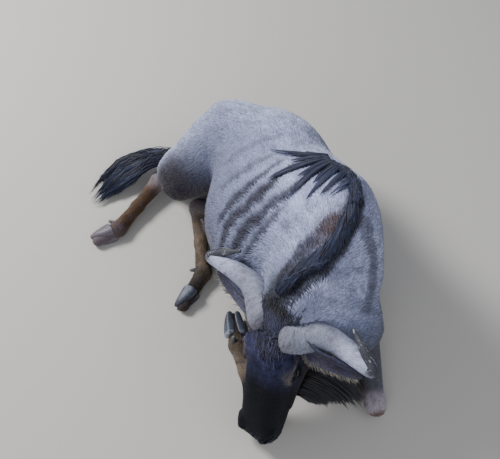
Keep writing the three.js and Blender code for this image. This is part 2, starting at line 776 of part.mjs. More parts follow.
// A ridge of hair: a core that follows the crest, and locks that leave it backwards and to the right.
function maneOf(crest, { count, length, wide, thick, core, aside, seed }) {
  const next = drawsOf(seed);
  const sunk = crest.map((c) => c.at.clone().addScaledVector(c.out, -4));
  const line = new CatmullRomCurve3(sunk, false, "centripetal");
  const ridge = tube(sunk, () => core, () => core * 0.7, crest[0].out, 6, crest.length);
  const locks = [];
  for (let i = 0; i < count; i++) {
    const place = (i + 0.2 + 0.6 * next()) / count;
    const c = crest[Math.round(place * (crest.length - 1))];
    const root = line.getPoint(place).addScaledVector(c.left, (next() - 0.5) * core * 0.7);
    const turn = aside(place) * (0.85 + 0.3 * next());
    const flow = c.along.clone().multiplyScalar(turn - 1).addScaledVector(c.left, -turn);
    const reach = length(place) * (0.75 + 0.5 * next());
    const lift = thick + 2 + 9 * next();
    const path = overSurface(flesh, root, flow, reach, (u) => lift * (1 - 0.5 * u), 0.15);
    locks.push(lock(path, wide * (0.8 + 0.4 * next()), thick, c.out));
  }
  return union([ridge, ...locks]);
}

// A path that leaves a root on its way and then hangs, kept clear of the head and of the chest.
function hanging(root, way, length, clear) {
  const STEPS = 5;
  const TURN = 0.45;
  const LOWEST = 7;
  const outer = smoothUnion(20, [flesh, headField]);
  const heading = way.clone().normalize();
  const path = [root.clone()];
  const p = root.clone();
  for (let i = 0; i < STEPS; i++) {
    p.addScaledVector(heading, length / STEPS);
    const depth = outer(p);
    if (depth < clear) p.addScaledVector(slopeOf(outer, p).normalize(), clear - depth);
    p.z = Math.max(p.z, LOWEST + 3 * i);
    path.push(p.clone());
    heading.addScaledVector(UP, -TURN).normalize();
  }
  return path;
}

// The beard hangs from the throat and the jaw, to the animal's left of the head.
function beard() {
  const COUNT = 8;
  const next = drawsOf(23);
  const aside = headWay(0, 1, -1).normalize();
  const rootAt = (place) =>
    leave(headField, inHead(mix(192, 292, place), 0, HEAD_LINE), aside).addScaledVector(aside, 3);
  const core = tube([0, 0.25, 0.5, 0.75, 1].map(rootAt), () => 17, () => 15, aside, 7, 5);
  const locks = [];
  for (let i = 0; i < COUNT; i++) {
    const place = (i + next()) / COUNT;
    const root = rootAt(place).addScaledVector(HEAD_LEFT, (next() - 0.4) * 20);
    const way = aside.clone().multiplyScalar(0.8).addScaledVector(HEAD_LEFT, 0.5 - 0.5 * place);
    const length = mix(270, 120, place) * (0.8 + 0.35 * next());
    const path = hanging(root, way, length, 8 + 10 * next());
    locks.push(lock(path, mix(26, 19, place) * (0.85 + 0.3 * next()), 5, HEAD_LEFT));
  }
  return union([core, ...locks]);
}

// The tail: a short dock, then a switch of long hair laid out behind on the floor.
function tail() {
  const COUNT = 11;
  const next = drawsOf(5);
  const dock = [V(-330, 290, 222), V(-372, 335, 186), V(-405, 358, 150), V(-442, 374, 110)];
  const coreLine = [...dock, V(-500, 380, 68), V(-552, 368, 44)];
  const core = tube(coreLine, (u) => 21 - 10 * u, (u) => 18 - 9 * u, UP, 7, 8);
  const dockLine = new CatmullRomCurve3(dock);
  const locks = [];
  for (let i = 0; i < COUNT; i++) {
    const side = (i + next()) / COUNT - 0.5;
    const early = 0.35 + 0.65 * next();
    const root = dockLine.getPoint(early);
    const bend = V(-510 - 10 * side, 378 + 84 * side, 60 + 16 * next());
    const low = V(-590 - 60 * side, 342 + 84 * side, 32 + 20 * next() * (1 - early));
    const shorter = 62 * (0.5 - side) + 26 * next();
    const tip = V(-690 - 50 * side + 0.65 * shorter, 232 + 60 * side + 0.75 * shorter, 9 + 8 * next());
    locks.push(lock([root, bend, low, tip], 23, 5.5, UP));
  }
  return union([core, ...locks]);
}

// Every part but the trunk, before each gives way to its neighbours
const nodes = {};
const eachSide = (name, make) =>
  Object.entries(SIDES).forEach(([side, sign]) => (nodes[`${name}_${side}`] = make(side, sign)));
const eachClaw = (name, make) => {
  for (const [foot, setting] of Object.entries(FEET)) {
    nodes[`${name}_${foot}_inner`] = make(setting, 1);
    nodes[`${name}_${foot}_outer`] = make(setting, -1);
  }
};
eachSide("eye", (side, sign) => ball(inHead(EYE.along, sign * EYE.left, EYE.out), EYE.radius, 1));
nodes.head = head();
eachSide("horn", (side, sign) => horn(sign));
eachSide("ear", (side) => ear(EARS[side]));
eachSide("forearm", (side) => forearm(LIMBS[side]));
eachSide("gaskin", (side) => gaskin(LIMBS[side]));
eachClaw("hoof", claw);
eachClaw("dewclaw", dewclaw);
eachSide("fore_cannon", (side) => foreCannon(LIMBS[side]));
eachSide("hind_cannon", (side) => hindCannon(LIMBS[side]));
nodes.tail = tail();
nodes.mane_withers = maneOf(TRUNK_CREST, {
  count: 13, length: (t) => 150 - 25 * t, wide: 18, thick: 4.5, core: 14, aside: (t) => 0.72 + 0.4 * t, seed: 7,
});
nodes.mane_neck = maneOf(NECK_CREST, {
  count: 7, length: () => 130, wide: 23, thick: 5, core: 17, aside: () => 0.2, seed: 11,
});
nodes.beard = beard();

// Carving: a later part gives way to the earlier ones, grown by the gap
const apart = (a, b) => [0, 1, 2].some((i) => a.max[i] < b.min[i] || b.max[i] < a.min[i]);
const carve = (solid, others) => others.reduce(
  (rest, other) => (apart(rest.boundingBox(), other.boundingBox()) ? rest : rest.subtract(other)), solid);
const behind = (index, by) => {
  const { at, forward } = trunkFrames[index];
  return ahead(at.clone().addScaledVector(forward, by), forward);
};
const grownHead = grow(nodes.head);
const grownBody = grow(bodySolid);
const built = {
  hindquarters: bodySolid.subtract(behind(LOIN_CUT, 0)),
  barrel: bodySolid.intersect(behind(LOIN_CUT, GAP)).subtract(behind(RIB_CUT, 0)),
  forequarters: carve(bodySolid.intersect(behind(RIB_CUT, GAP)), [grow(neckBall), grownHead]),
  neck: carve(bodySolid.intersect(neckBall), [grownHead]),
};
const before = [];
for (const [name, shape] of Object.entries(nodes)) {
  const inNeck = name === "head" || name.startsWith("eye");
  built[name] = carve(shape, inNeck ? before : [grownBody, ...before]);
  before.push(grow(shape));
}
built.gaskin_left = built.gaskin_left.subtract(built.hindquarters);

// Colour and roughness, by the first word of a node's name
const FINISHES = {
  eye: [0x14100e, 0.15],
  head: [0x33343d, 0.75],
  horn: [0x8d8a86, 0.55],
  hoof: [0x2d2f36, 0.5],
  dewclaw: [0x2d2f36, 0.5],
  ear: [0x4a4650, 0.85],
  forearm: [0x5c5650, 0.85],
  fore: [0x77624c, 0.85],
  hind: [0x75655a, 0.85],
  gaskin: [0x6f675f, 0.85],
  tail: [0x1f2026, 0.7],
  mane: [0x22232a, 0.7],
  beard: [0x1c1c21, 0.7],
};
const COAT = [0x7d8190, 0.8];
function finishOf(name) {
  const [color, roughness] = FINISHES[name.split("_")[0]] ?? COAT;
  return new THREE.MeshStandardMaterial({ color, roughness, metalness: 0 });
}

// Each part keeps its largest closed body, cut level where it meets the floor
const group = new THREE.Group();
const aboveFloor = ahead(V(0, 0, FLOOR), UP);
for (const [name, whole] of Object.entries(built)) {
  const solid = whole.boundingBox().min[2] < FLOOR ? whole.intersect(aboveFloor) : whole;
  const [largest] = solid.decompose().sort((a, b) => b.volume() - a.volume());
  const mesh = largest.getMesh();
  const geometry = new THREE.BufferGeometry();
  geometry.setAttribute("position", new THREE.BufferAttribute(new Float32Array(mesh.vertProperties), 3));
  geometry.setIndex(new THREE.BufferAttribute(new Uint32Array(mesh.triVerts), 1));
  geometry.computeVertexNormals();
  const object = new THREE.Mesh(geometry, finishOf(name));
  object.name = name;
  group.add(object);
}

export default group;
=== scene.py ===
"""A life-size blue wildebeest lying at rest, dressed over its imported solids.

One skin is grown from a distance field of the animal. The short coat lies on it as small closed tufts, and
the mane, beard, tail and ear fringes are tapered locks. Metres throughout: +Z up, the chest faces -Y and the
animal's left side is towards +X. The origin is on the floor under the barrel.
"""

from __future__ import annotations

import logging
import math
from dataclasses import dataclass, field
from enum import Enum
from typing import Callable, Sequence

import bmesh
import bpy
import numpy as np
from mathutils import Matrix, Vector
from mathutils.bvhtree import BVHTree


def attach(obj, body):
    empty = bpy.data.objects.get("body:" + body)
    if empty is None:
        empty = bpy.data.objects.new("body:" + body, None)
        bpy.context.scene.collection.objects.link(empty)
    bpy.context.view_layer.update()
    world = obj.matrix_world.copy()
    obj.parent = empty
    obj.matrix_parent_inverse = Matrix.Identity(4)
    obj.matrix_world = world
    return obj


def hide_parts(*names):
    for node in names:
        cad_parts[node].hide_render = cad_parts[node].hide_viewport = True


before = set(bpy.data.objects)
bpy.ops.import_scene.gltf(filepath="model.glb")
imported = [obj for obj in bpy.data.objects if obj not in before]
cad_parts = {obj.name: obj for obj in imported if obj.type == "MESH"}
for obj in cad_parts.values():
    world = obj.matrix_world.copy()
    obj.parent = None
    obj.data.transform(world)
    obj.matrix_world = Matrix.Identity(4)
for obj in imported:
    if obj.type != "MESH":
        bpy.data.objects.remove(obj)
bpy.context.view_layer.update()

LOG = logging.getLogger("wildebeest")
Array = np.ndarray
# a form gives the distance of each of its points from its surface, negative inside
Distance = Callable[[Array], Array]
Place = tuple[float, float, float]
Material = bpy.types.Material
Socket = bpy.types.NodeSocket


class Side(Enum):
    """The two sides of the animal, valued by the sign that its left carries."""

    LEFT = 1
    RIGHT = -1

    @property
    def word(self) -> str:
        """The side's name as the nodes spell it."""
        return self.name.lower()


def unit(v: Array) -> Array:
    """Vectors scaled to length one along their last axis."""
    return v / np.maximum(np.linalg.norm(v, axis=-1, keepdims=True), 1e-12)


def vec(*values: float) -> Array:
    """A vector of plain numbers."""
    return np.array(values, float)


UP = vec(0, 0, 1)


def circle(count: int) -> Array:
    """Even angles once round."""
    return np.linspace(0, 2 * math.pi, count, endpoint=False)


def spaced(count: int, draws: np.random.Generator) -> Array:
    """Spots from 0 to 1, one drawn from each of as many equal stretches."""
    return (np.arange(count) + draws.random(count)) / count


def off_floor(points: Array, least: float = 0.0005) -> None:
    """Lifts the points that lie lower than a height up to it, in place."""
    points[..., 2] = np.maximum(points[..., 2], least)


def smoothstep(low: float, high: float, value: Array) -> Array:
    """A smooth ramp from 0 at low to 1 at high."""
    t = np.clip((value - low) / (high - low), 0, 1)
    return t * t * (3 - 2 * t)


def soft_join(first: Array, second: Array, width: float) -> Array:
    """The distance from two forms run together, with a soft seam of a given width."""
    h = np.maximum(width - np.abs(first - second), 0) / width
    return np.minimum(first, second) - h * h * width * 0.25


def curve(a: Array, b: Array, c: Array, d: Array, t: float) -> Array:
    """The place a share t of the way from b to c on the uniform Catmull-Rom curve of all four."""
    return 0.5 * (2 * b + (c - a) * t + (2 * a - 5 * b + 4 * c - d) * t**2 + (3 * b - a - 3 * c + d) * t**3)


def through(values: Array, place: float) -> float:
    """A smooth value through a list.

    Args:
        values: one value a station.
        place: where to read, counted in stations.

    Returns:
        The value there.
    """
    last = len(values) - 1
    i = int(np.clip(math.floor(place), 0, last - 1))
    a, b, c, d = (values[int(np.clip(i + k, 0, last))] for k in (-1, 0, 1, 2))
    return curve(a, b, c, d, place - i)


class Line:
    """A centripetal Catmull-Rom curve through points, read evenly by station."""

    # points nearer than this, as the root of their distance, count as this far apart
    CLOSEST = 1e-4

    def __init__(self, points: Sequence[Array]) -> None:
        """Keeps the points and their mirrored neighbours past each end."""
        inner = np.array(points, float)
        self.points = np.vstack([2 * inner[0] - inner[1], inner, 2 * inner[-1] - inner[-2]])
        self.count = len(inner)

    def at(self, u: float) -> Array:
        """The point a share of the way along.

        Args:
            u: the share of the stations, from 0 to 1.

        Returns:
            The point.
        """
        place = min(max(u, 0.0), 1.0) * (self.count - 1)
        i = min(int(place), self.count - 2)
        t = place - i
        p0, p1, p2, p3 = self.points[i : i + 4]
        gaps = (float(np.linalg.norm(b - a)) for a, b in ((p0, p1), (p1, p2), (p2, p3)))
        d0, d1, d2 = (max(gap**0.5, self.CLOSEST) for gap in gaps)
        m1 = d1 * ((p1 - p0) / d0 - (p2 - p0) / (d0 + d1) + (p2 - p1) / d1)
        m2 = d1 * ((p2 - p1) / d1 - (p3 - p1) / (d1 + d2) + (p3 - p2) / d2)
        return p1 + m1 * t + (-3 * p1 + 3 * p2 - 2 * m1 - m2) * t**2 + (2 * p1 - 2 * p2 + m1 + m2) * t**3

    def tangent(self, u: float) -> Array:
        """The unit direction there."""
        step = 1e-4
        return unit(self.at(min(u + step, 1)) - self.at(max(u - step, 0)))


def slid(p: Array, way: Array, form: Distance, most: float, times: int) -> Array:
    """Slides points along their way until they lie on a form.

    Args:
        p: the points.
        way: the way out of the form for each.
        form: the form.
        most: the longest step.
        times: how many steps.

    Returns:
        The points where they end.
    """
    for _ in range(times):
        p = p - way * np.clip(form(p), -most, most)[:, None]
    return p


@dataclass(frozen=True)
class RoundCone:
    """A ball at each end and the cone that touches both."""

    start: Place
    end: Place
    start_radius: float
    end_radius: float

    def __call__(self, p: Array) -> Array:
        """The distance of each point from the surface.

        Args:
            p: the points.

        Returns:
            One distance a point, negative inside.
        """
        a = np.array(self.start)
        axis = np.array(self.end) - a
        length = float(np.linalg.norm(axis))
        axis = axis / length
        slope = (self.start_radius - self.end_radius) / length
        rise = math.sqrt(max(1 - slope * slope, 1e-6))
        q = p - a
        along = q @ axis
        out = np.sqrt(np.maximum((q * q).sum(1) - along**2, 0))
        t = np.clip((along + out * slope / rise) / length, 0, 1)
        radius = self.start_radius + (self.end_radius - self.start_radius) * t
        return np.hypot(out, along - t * length) - radius


@dataclass(frozen=True)
class Oval:
    """An ellipsoid with half sizes along three unit axes."""

    centre: Array
    axes: Array
    sizes: Array

    def __call__(self, p: Array) -> Array:
        """The distance of each point from the surface.

        Args:
            p: the points.

        Returns:
            One distance a point, negative inside.
        """
        q = (p - self.centre) @ np.array(self.axes).T
        sizes = np.array(self.sizes)
        k0 = np.linalg.norm(q / sizes, axis=1)
        k1 = np.linalg.norm(q / sizes**2, axis=1)
        return np.where(k1 < 1e-9, -sizes.min(), k0 * (k0 - 1) / np.maximum(k1, 1e-9))


@dataclass(frozen=True)
class Blend:
    """Forms run together, with a soft seam of a given width."""

    width: float
    forms: tuple[Distance, ...]

    def __call__(self, p: Array) -> Array:
        """The distance of each point from the surface.

        Args:
            p: the points.

        Returns:
            One distance a point, negative inside.
        """
        d = self.forms[0](p)
        for form in self.forms[1:]:
            d = soft_join(d, form(p), self.width)
        return d


class Sweep:
    """A body of full ovals that follows a line of stations.

    Attributes:
        SHARE: how far a frame's weight reaches past the nearest one.
        FEWEST: the least weight that still counts.
        END_CAP: how far an end bulges, as a share of its smaller half size.
        UNDER: the power of the underside's oval; 2 is a plain one.
        CHUNK: how many points are worked on at once.
    """

    SHARE = 0.045
    FEWEST = 0.02
    END_CAP = 0.6
    UNDER = 2.2
    CHUNK = 20000

    def __init__(self, stations: Sequence[Sequence[float]], steps: int, side: Array | None = None) -> None:
        """Works out the frames.

        Args:
            stations: x, y, z, half width, height, depth, roll in degrees and ridge power of each.
            steps: frames from one station to the next.
            side: the direction of the body's left where the floor doesn't set it.
        """
        table = np.array(stations, float)
        self.line = Line(table[:, :3])
        count = (len(table) - 1) * steps
        rows = []
        for i in range(count + 1):
            u = i / count
            wide, top, bottom, roll, ridge = (through(table[:, k], i / steps) for k in range(3, 8))
            ahead = self.line.tangent(u)
            level = unit(side if side is not None else np.cross(UP, ahead))
            upright = unit(np.cross(ahead, level))
            turn = math.radians(roll)
            left = level * math.cos(turn) - upright * math.sin(turn)
            dorsal = upright * math.cos(turn) + level * math.sin(turn)
            rows.append((self.line.at(u), ahead, left, dorsal, (wide, top, bottom, ridge)))
        self.at, self.ahead, self.left, self.dorsal = (np.array([r[k] for r in rows]) for k in range(4))
        self.wide, self.top, self.bottom, self.ridge = np.array([r[4] for r in rows]).T
        self.steps = steps

    def shared(self, p: Array) -> tuple[Array, Array]:
        """Weighs the frames near each point, so that the inside of a bend stays smooth.

        Args:
            p: the points.

        Returns:
            Whether each point is past an end, and a table a point of: the station, the offset to the left and
            to the back side, the half width, height, depth and ridge, and how far ahead of the nearest frame
            the point lies.
        """
        to_left, to_back = (np.c_[way, (self.at * way).sum(1)] for way in (self.left, self.dorsal))
        sizes = np.c_[np.arange(len(self.at)) / self.steps, self.wide, self.top, self.bottom, self.ridge]
        past = np.empty(len(p), bool)
        table = np.empty((len(p), 8))
        for low in range(0, len(p), self.CHUNK):
            q = p[low : low + self.CHUNK]
            rows = slice(low, low + len(q))
            squares = (q**2).sum(1)[:, None] - 2 * q @ self.at.T + (self.at**2).sum(1)
            near = squares.argmin(1)
            ahead = ((q - self.at[near]) * self.ahead[near]).sum(1)
            past[rows] = ((near == 0) & (ahead < 0)) | ((near == len(self.at) - 1) & (ahead > 0))
            weight = np.exp((squares.min(1)[:, None] - squares) / self.SHARE**2)
            weight[weight < self.FEWEST] = 0
            ended = past[rows]
            weight[ended] = 0
            weight[ended, near[ended]] = 1
            weight /= weight.sum(1)[:, None]
            offset = np.c_[q, -np.ones(len(q))]
            table[rows, 0] = weight @ sizes[:, 0]
            table[rows, 1] = (weight * (offset @ to_left.T)).sum(1)
            table[rows, 2] = (weight * (offset @ to_back.T)).sum(1)
            table[rows, 3:7] = weight @ sizes[:, 1:]
            table[rows, 7] = ahead
        return past, table

    def across(self, p: Array) -> tuple[Array, Array, Array]:
        """The station of each point, and how far it lies to the left and to the back side of the line."""
        _, table = self.shared(p)
        return table[:, 0], table[:, 1], table[:, 2]

    def __call__(self, p: Array) -> Array:
        """The distance of each point from the surface.

        Args:
            p: the points.

        Returns:
            One distance a point, negative inside.
        """
        past, table = self.shared(p)
        _, u, v, wide, top, bottom, ridge, ahead = table.T
        high = np.where(v > 0, top, bottom)
        power = np.where(v > 0, ridge, self.UNDER)
        rho = np.hypot(u, v)
        oval = ((np.abs(u) / wide) ** power + (np.abs(v) / high) ** power) ** (1 / power)
        reach = np.where(rho < 1e-6, np.minimum(wide, high), rho / np.maximum(oval, 1e-9))
        cap = np.minimum(wide, high) * self.END_CAP
        ended = (np.hypot(rho / reach, ahead / cap) - 1) * np.minimum(reach, cap)
        return np.where(past, ended, rho - reach)


@dataclass
class Head:
    """The head's frame and sizes: along the face to the nose, to its left, and out of the forehead."""

    poll: Array = field(default_factory=lambda: vec(-0.029, -0.414, 0.451))
    along: Array = field(default_factory=lambda: unit(vec(-0.201, -0.569, -0.797)))
    left: Array = field(default_factory=lambda: unit(vec(0.72, -0.645, 0.257)))
    line: float = -0.085
    eye_along: float = 0.168
    eye_left: float = 0.078
    eye_out: float = -0.046
    eye_radius: float = 0.020
    # distance along the face, half width, height and depth about the line
    face: tuple[tuple[float, float, float, float], ...] = (
        (-0.012, 0.052, 0.062, 0.070),
        (0.030, 0.076, 0.084, 0.105),
        (0.090, 0.087, 0.092, 0.116),
        (0.150, 0.090, 0.095, 0.112),
        (0.200, 0.086, 0.093, 0.098),
        (0.255, 0.079, 0.088, 0.082),
        (0.320, 0.073, 0.082, 0.066),
        (0.380, 0.070, 0.076, 0.058),
        (0.420, 0.072, 0.069, 0.052),
        (0.442, 0.067, 0.056, 0.044),
        (0.456, 0.050, 0.037, 0.028),
    )

    def __post_init__(self) -> None:
        """Squares the frame."""
        self.out = unit(np.cross(self.along, self.left))
        self.left = unit(np.cross(self.out, self.along))

    @property
    def eye(self) -> Array:
        """The left eye's middle in the head's frame."""
        return vec(self.eye_along, self.eye_left, self.eye_out)

    @property
    def axes(self) -> Array:
        """The three unit axes: along, left and out."""
        return np.array([self.along, self.left, self.out])

    def place(self, along: float, left: float, out: float) -> Array:
        """The world point at a place in the head's frame."""
        return self.poll + along * self.along + left * self.left + out * self.out

    def local(self, p: Array) -> Array:
        """World points in the head's frame, as along, left and out."""
        return (p - self.poll) @ self.axes.T


@dataclass(frozen=True)
class Limb:
    """The joints of one side's two legs."""

    hip: Place
    stifle: Place
    hock: Place
    hind_fetlock: Place
    hind_toe: Place
    shoulder_top: Place
    shoulder: Place
    elbow: Place
    carpus: Place
    fore_fetlock: Place
    fore_toe: Place

    def joints(self, fore: bool) -> list[Array]:
        """The upper joint, the middle joint, the fetlock and the toe of the foreleg or the hind leg."""
        if fore:
            return [np.array(j) for j in (self.elbow, self.carpus, self.fore_fetlock, self.fore_toe)]
        return [np.array(j) for j in (self.stifle, self.hock, self.hind_fetlock, self.hind_toe)]


LIMBS = {
    Side.RIGHT: Limb(
        hip=(-0.175, 0.300, 0.290),
        stifle=(-0.258, 0.262, 0.212),
        hock=(-0.437, 0.302, 0.052),
        hind_fetlock=(-0.578, 0.108, 0.028),
        hind_toe=(-0.650, 0.062, 0.020),
        shoulder_top=(0.150, -0.190, 0.600),
        shoulder=(-0.012, -0.352, 0.335),
        elbow=(-0.045, -0.262, 0.112),
        carpus=(-0.088, -0.525, 0.033),
        fore_fetlock=(-0.143, -0.345, 0.027),
        fore_toe=(-0.160, -0.245, 0.022),
    ),
    Side.LEFT: Limb(
        hip=(-0.170, 0.380, 0.112),
        stifle=(-0.070, 0.140, 0.086),
        hock=(-0.290, 0.190, 0.038),
        hind_fetlock=(-0.265, -0.074, 0.028),
        hind_toe=(-0.330, -0.195, 0.020),
        shoulder_top=(0.185, -0.205, 0.600),
        shoulder=(0.206, -0.402, 0.340),
        elbow=(0.262, -0.262, 0.116),
        carpus=(0.303, -0.550, 0.034),
        fore_fetlock=(0.205, -0.335, 0.027),
        fore_toe=(0.190, -0.235, 0.022),
    ),
}
LEGS = tuple((side, fore) for side in LIMBS for fore in (True, False))


@dataclass
class Anatomy:
    """The whole animal as one distance field, from the same sizes as the solids."""

    # x, y, z, half width, height, depth, roll, ridge
    trunk_stations: tuple[tuple[float, ...], ...] = (
        (-0.375, 0.222, 0.168, 0.090, 0.060, 0.070, 60, 2),
        (-0.314, 0.250, 0.182, 0.145, 0.098, 0.090, 60, 2),
        (-0.190, 0.300, 0.196, 0.184, 0.174, 0.130, 60, 2),
        (-0.078, 0.218, 0.222, 0.210, 0.248, 0.215, 50, 2),
        (-0.004, 0.066, 0.254, 0.245, 0.252, 0.272, 34, 1.9),
        (0.044, -0.068, 0.284, 0.242, 0.322, 0.292, 20, 1.75),
        (0.098, -0.215, 0.306, 0.200, 0.418, 0.315, 14, 1.6),
        (0.104, -0.320, 0.318, 0.164, 0.335, 0.292, 10, 1.8),
        (0.096, -0.398, 0.330, 0.115, 0.200, 0.195, 10, 2),
    )
    steps: int = 8
    head: Head = field(default_factory=Head)

    def __post_init__(self) -> None:
        """Builds the parts and joins them."""
        self.trunk = Sweep(self.trunk_stations, self.steps)
        self.face = Sweep(
            [(*self.head.place(a, 0, self.head.line), w, t, b, 0, 3) for a, w, t, b in self.head.face],
            4,
            self.head.left,
        )
        self.body = Blend(0.060, (self.trunk, *self.muscles()))
        self.neck = Blend(0.050, tuple(self.neck_forms()))
        self.flesh = Blend(0.060, (self.body, self.neck))
        self.skull = Blend(0.018, (self.face, *self.head_forms()))
        self.legs = {side: self.leg_forms(limb) for side, limb in LIMBS.items()}
        legs = [Blend(0.016, tuple(forms)) for pair in self.legs.values() for forms in pair]
        self.whole = Blend(0.030, (self.flesh, self.skull, *legs))

    def muscles(self) -> list[Distance]:
        """The haunches, shoulders and upper arms."""
        right, left = LIMBS[Side.RIGHT], LIMBS[Side.LEFT]
        return [
            RoundCone(right.hip, right.stifle, 0.125, 0.070),
            RoundCone((-0.175, 0.330, 0.268), (-0.325, 0.240, 0.215), 0.122, 0.082),
            RoundCone(left.hip, (-0.095, 0.235, 0.098), 0.104, 0.088),
            RoundCone(right.shoulder_top, right.shoulder, 0.055, 0.068),
            RoundCone(left.shoulder_top, left.shoulder, 0.055, 0.072),
            RoundCone(right.shoulder, right.elbow, 0.066, 0.064),
            RoundCone(left.shoulder, left.elbow, 0.072, 0.066),
        ]

    def neck_forms(self) -> list[Distance]:
        """The crest of the neck and its deep sides."""
        return [
            RoundCone((0.180, -0.232, 0.655), (0.158, -0.276, 0.606), 0.048, 0.055),
            RoundCone((0.158, -0.276, 0.606), (0.110, -0.327, 0.539), 0.055, 0.060),
            RoundCone((0.110, -0.327, 0.539), (0.045, -0.352, 0.478), 0.060, 0.066),
            RoundCone((0.125, -0.265, 0.420), (0.045, -0.350, 0.430), 0.138, 0.088),
            RoundCone((0.105, -0.345, 0.330), (0.062, -0.365, 0.385), 0.118, 0.078),
        ]

    def head_forms(self) -> list[Distance]:
        """The brows and the nostrils' flare."""
        head = self.head
        forms: list[Distance] = []
        for side in Side:
            brow = head.place(head.eye_along - 0.008, side.value * 0.072, -0.034)
            forms.append(Oval(brow, head.axes, vec(0.042, 0.020, 0.024)))
        for side in Side:
            flare = head.place(0.425, side.value * 0.047, -0.048)
            forms.append(Oval(flare, head.axes, vec(0.030, 0.020, 0.026)))
        return forms

    def leg_forms(self, limb: Limb) -> tuple[list[Distance], list[Distance]]:
        """One side's foreleg and hind leg, each from its upper joint to its toe.

        Args:
            limb: the joints.

        Returns:
            The forms of the foreleg, and those of the hind leg.
        """

        def between(a: tuple[float, ...], b: tuple[float, ...], t: float) -> tuple[float, ...]:
            """The point a share t of the way from a to b."""
            return tuple(x + (y - x) * t for x, y in zip(a, b))

        fore_mid = between(limb.carpus, limb.fore_fetlock, 0.5)
        hind_mid = between(limb.hock, limb.hind_fetlock, 0.55)
        fore = [
            RoundCone(limb.elbow, limb.carpus, 0.060, 0.031),
            RoundCone(limb.carpus, between(limb.carpus, limb.elbow, 0.05), 0.034, 0.033),
            RoundCone(limb.carpus, fore_mid, 0.030, 0.024),
            RoundCone(fore_mid, limb.fore_fetlock, 0.024, 0.029),
            RoundCone(limb.fore_fetlock, limb.fore_toe, 0.029, 0.024),
        ]
        gaskin_mid = between(limb.stifle, limb.hock, 0.55)
        hind = [
            RoundCone(limb.stifle, gaskin_mid, 0.070, 0.046),
            RoundCone(gaskin_mid, limb.hock, 0.046, 0.034),
            RoundCone(limb.hock, hind_mid, 0.034, 0.025),
            RoundCone(hind_mid, limb.hind_fetlock, 0.025, 0.030),
            RoundCone(limb.hind_fetlock, limb.hind_toe, 0.030, 0.025),
        ]
        return fore, hind


def gradient(form: Distance, p: Array, step: float = 0.001) -> Array:
    """The slope of a field at each point.

    Args:
        form: the field.
        p: the points.
        step: how far apart it is read.

    Returns:
        One direction a point, as long as the field is steep there.
    """
    columns = []
    for k in range(3):
        shift = np.zeros(3)
        shift[k] = step
        columns.append((form(p + shift) - form(p - shift)) / (2 * step))
    return np.stack(columns, axis=1)


@dataclass
class Net:
    """A closed mesh of a field's surface: one point a cell, each drawn onto the field."""

    form: Distance
    low: Array
    high: Array
    cell: float
    coarse: int = 4
    pulls: int = 3

    def values(self) -> tuple[Array, tuple[int, int, int]]:
        """The field on the grid, exact near the surface and rough elsewhere.

        Returns:
            The values, and how many there are along each axis.
        """
        size = np.ceil((self.high - self.low) / (self.cell * self.coarse)).astype(int) + 1
        rough_axes = [self.low[k] + np.arange(size[k]) * self.cell * self.coarse for k in range(3)]
        rough = self.form(np.stack(np.meshgrid(*rough_axes, indexing="ij"), -1).reshape(-1, 3)).reshape(size)
        fine = rough
        for k in range(3):
            n = fine.shape[k]
            where = np.arange((n - 1) * self.coarse + 1) / self.coarse
            i = np.minimum(where.astype(int), n - 2)
            t = (where - i).reshape([-1 if axis == k else 1 for axis in range(3)])
            fine = np.take(fine, i, k) * (1 - t) + np.take(fine, i + 1, k) * t
        near = np.abs(fine) < self.cell * self.coarse
        index = np.argwhere(near)
        fine[near] = self.form(self.low + index * self.cell)
        return fine, fine.shape

    def build(self) -> tuple[Array, Array]:
        """Makes the mesh.

        Returns:
            The points and the four-sided faces.
        """
        values, shape = self.values()
        inside = values < 0
        corners = [(a, b, c) for a in (0, 1) for b in (0, 1) for c in (0, 1)]

        def corner(grid: Array, c: tuple[int, int, int]) -> Array:
            """The grid's values at one corner of every cell."""
            return grid[tuple(slice(c[k], shape[k] - 1 + c[k]) for k in range(3))]

        count = sum(corner(inside, c).astype(int) for c in corners)
        cells = np.argwhere((count > 0) & (count < 8))
        number = np.full([n - 1 for n in shape], -1)
        number[tuple(cells.T)] = np.arange(len(cells))
        total = np.zeros((len(cells), 3))
        hits = np.zeros(len(cells))
        for a in corners:
            for k in range(3):
                if a[k]:
                    continue
                b = tuple(a[m] + (m == k) for m in range(3))
                va = values[tuple((cells + a).T)]
                vb = values[tuple((cells + b).T)]
                cross = (va < 0) != (vb < 0)
                t = np.where(cross, va / np.where(cross, va - vb, 1), 0)
                spot = np.array(a, float) + t[:, None] * (np.array(b) - np.array(a))
                total += spot * cross[:, None]
                hits += cross
        points = self.low + (cells + total / hits[:, None]) * self.cell
        faces = []
        for k in range(3):
            u, v = (k + 1) % 3, (k + 2) % 3
            here = np.take(inside, np.arange(shape[k] - 1), k)
            there = np.take(inside, np.arange(1, shape[k]), k)
            edge = np.argwhere(here != there)
            edge = edge[(edge[:, u] > 0) & (edge[:, v] > 0)]
            edge = edge[(edge[:, u] < shape[u] - 1) & (edge[:, v] < shape[v] - 1)]
            ring = []
            for m, n in ((0, 0), (1, 0), (1, 1), (0, 1)):
                cell = edge.copy()
                cell[:, u] -= m
                cell[:, v] -= n
                ring.append(number[tuple(cell.T)])
            quads = np.stack(ring, 1)
            flip = here[tuple(edge.T)]
            quads[flip] = quads[flip][:, ::-1]
            faces.append(quads)
        return self.settle(points), np.vstack(faces)[:, ::-1]

    def settle(self, points: Array) -> Array:
        """Draws points onto the field.

        Args:
            points: the points.

        Returns:
            The points, drawn.
        """
        flattest = 0.2
        for _ in range(self.pulls):
            slope = gradient(self.form, points)
            strength = np.maximum((slope**2).sum(1), flattest)
            points = points - slope * (self.form(points) / strength)[:, None]
        return points


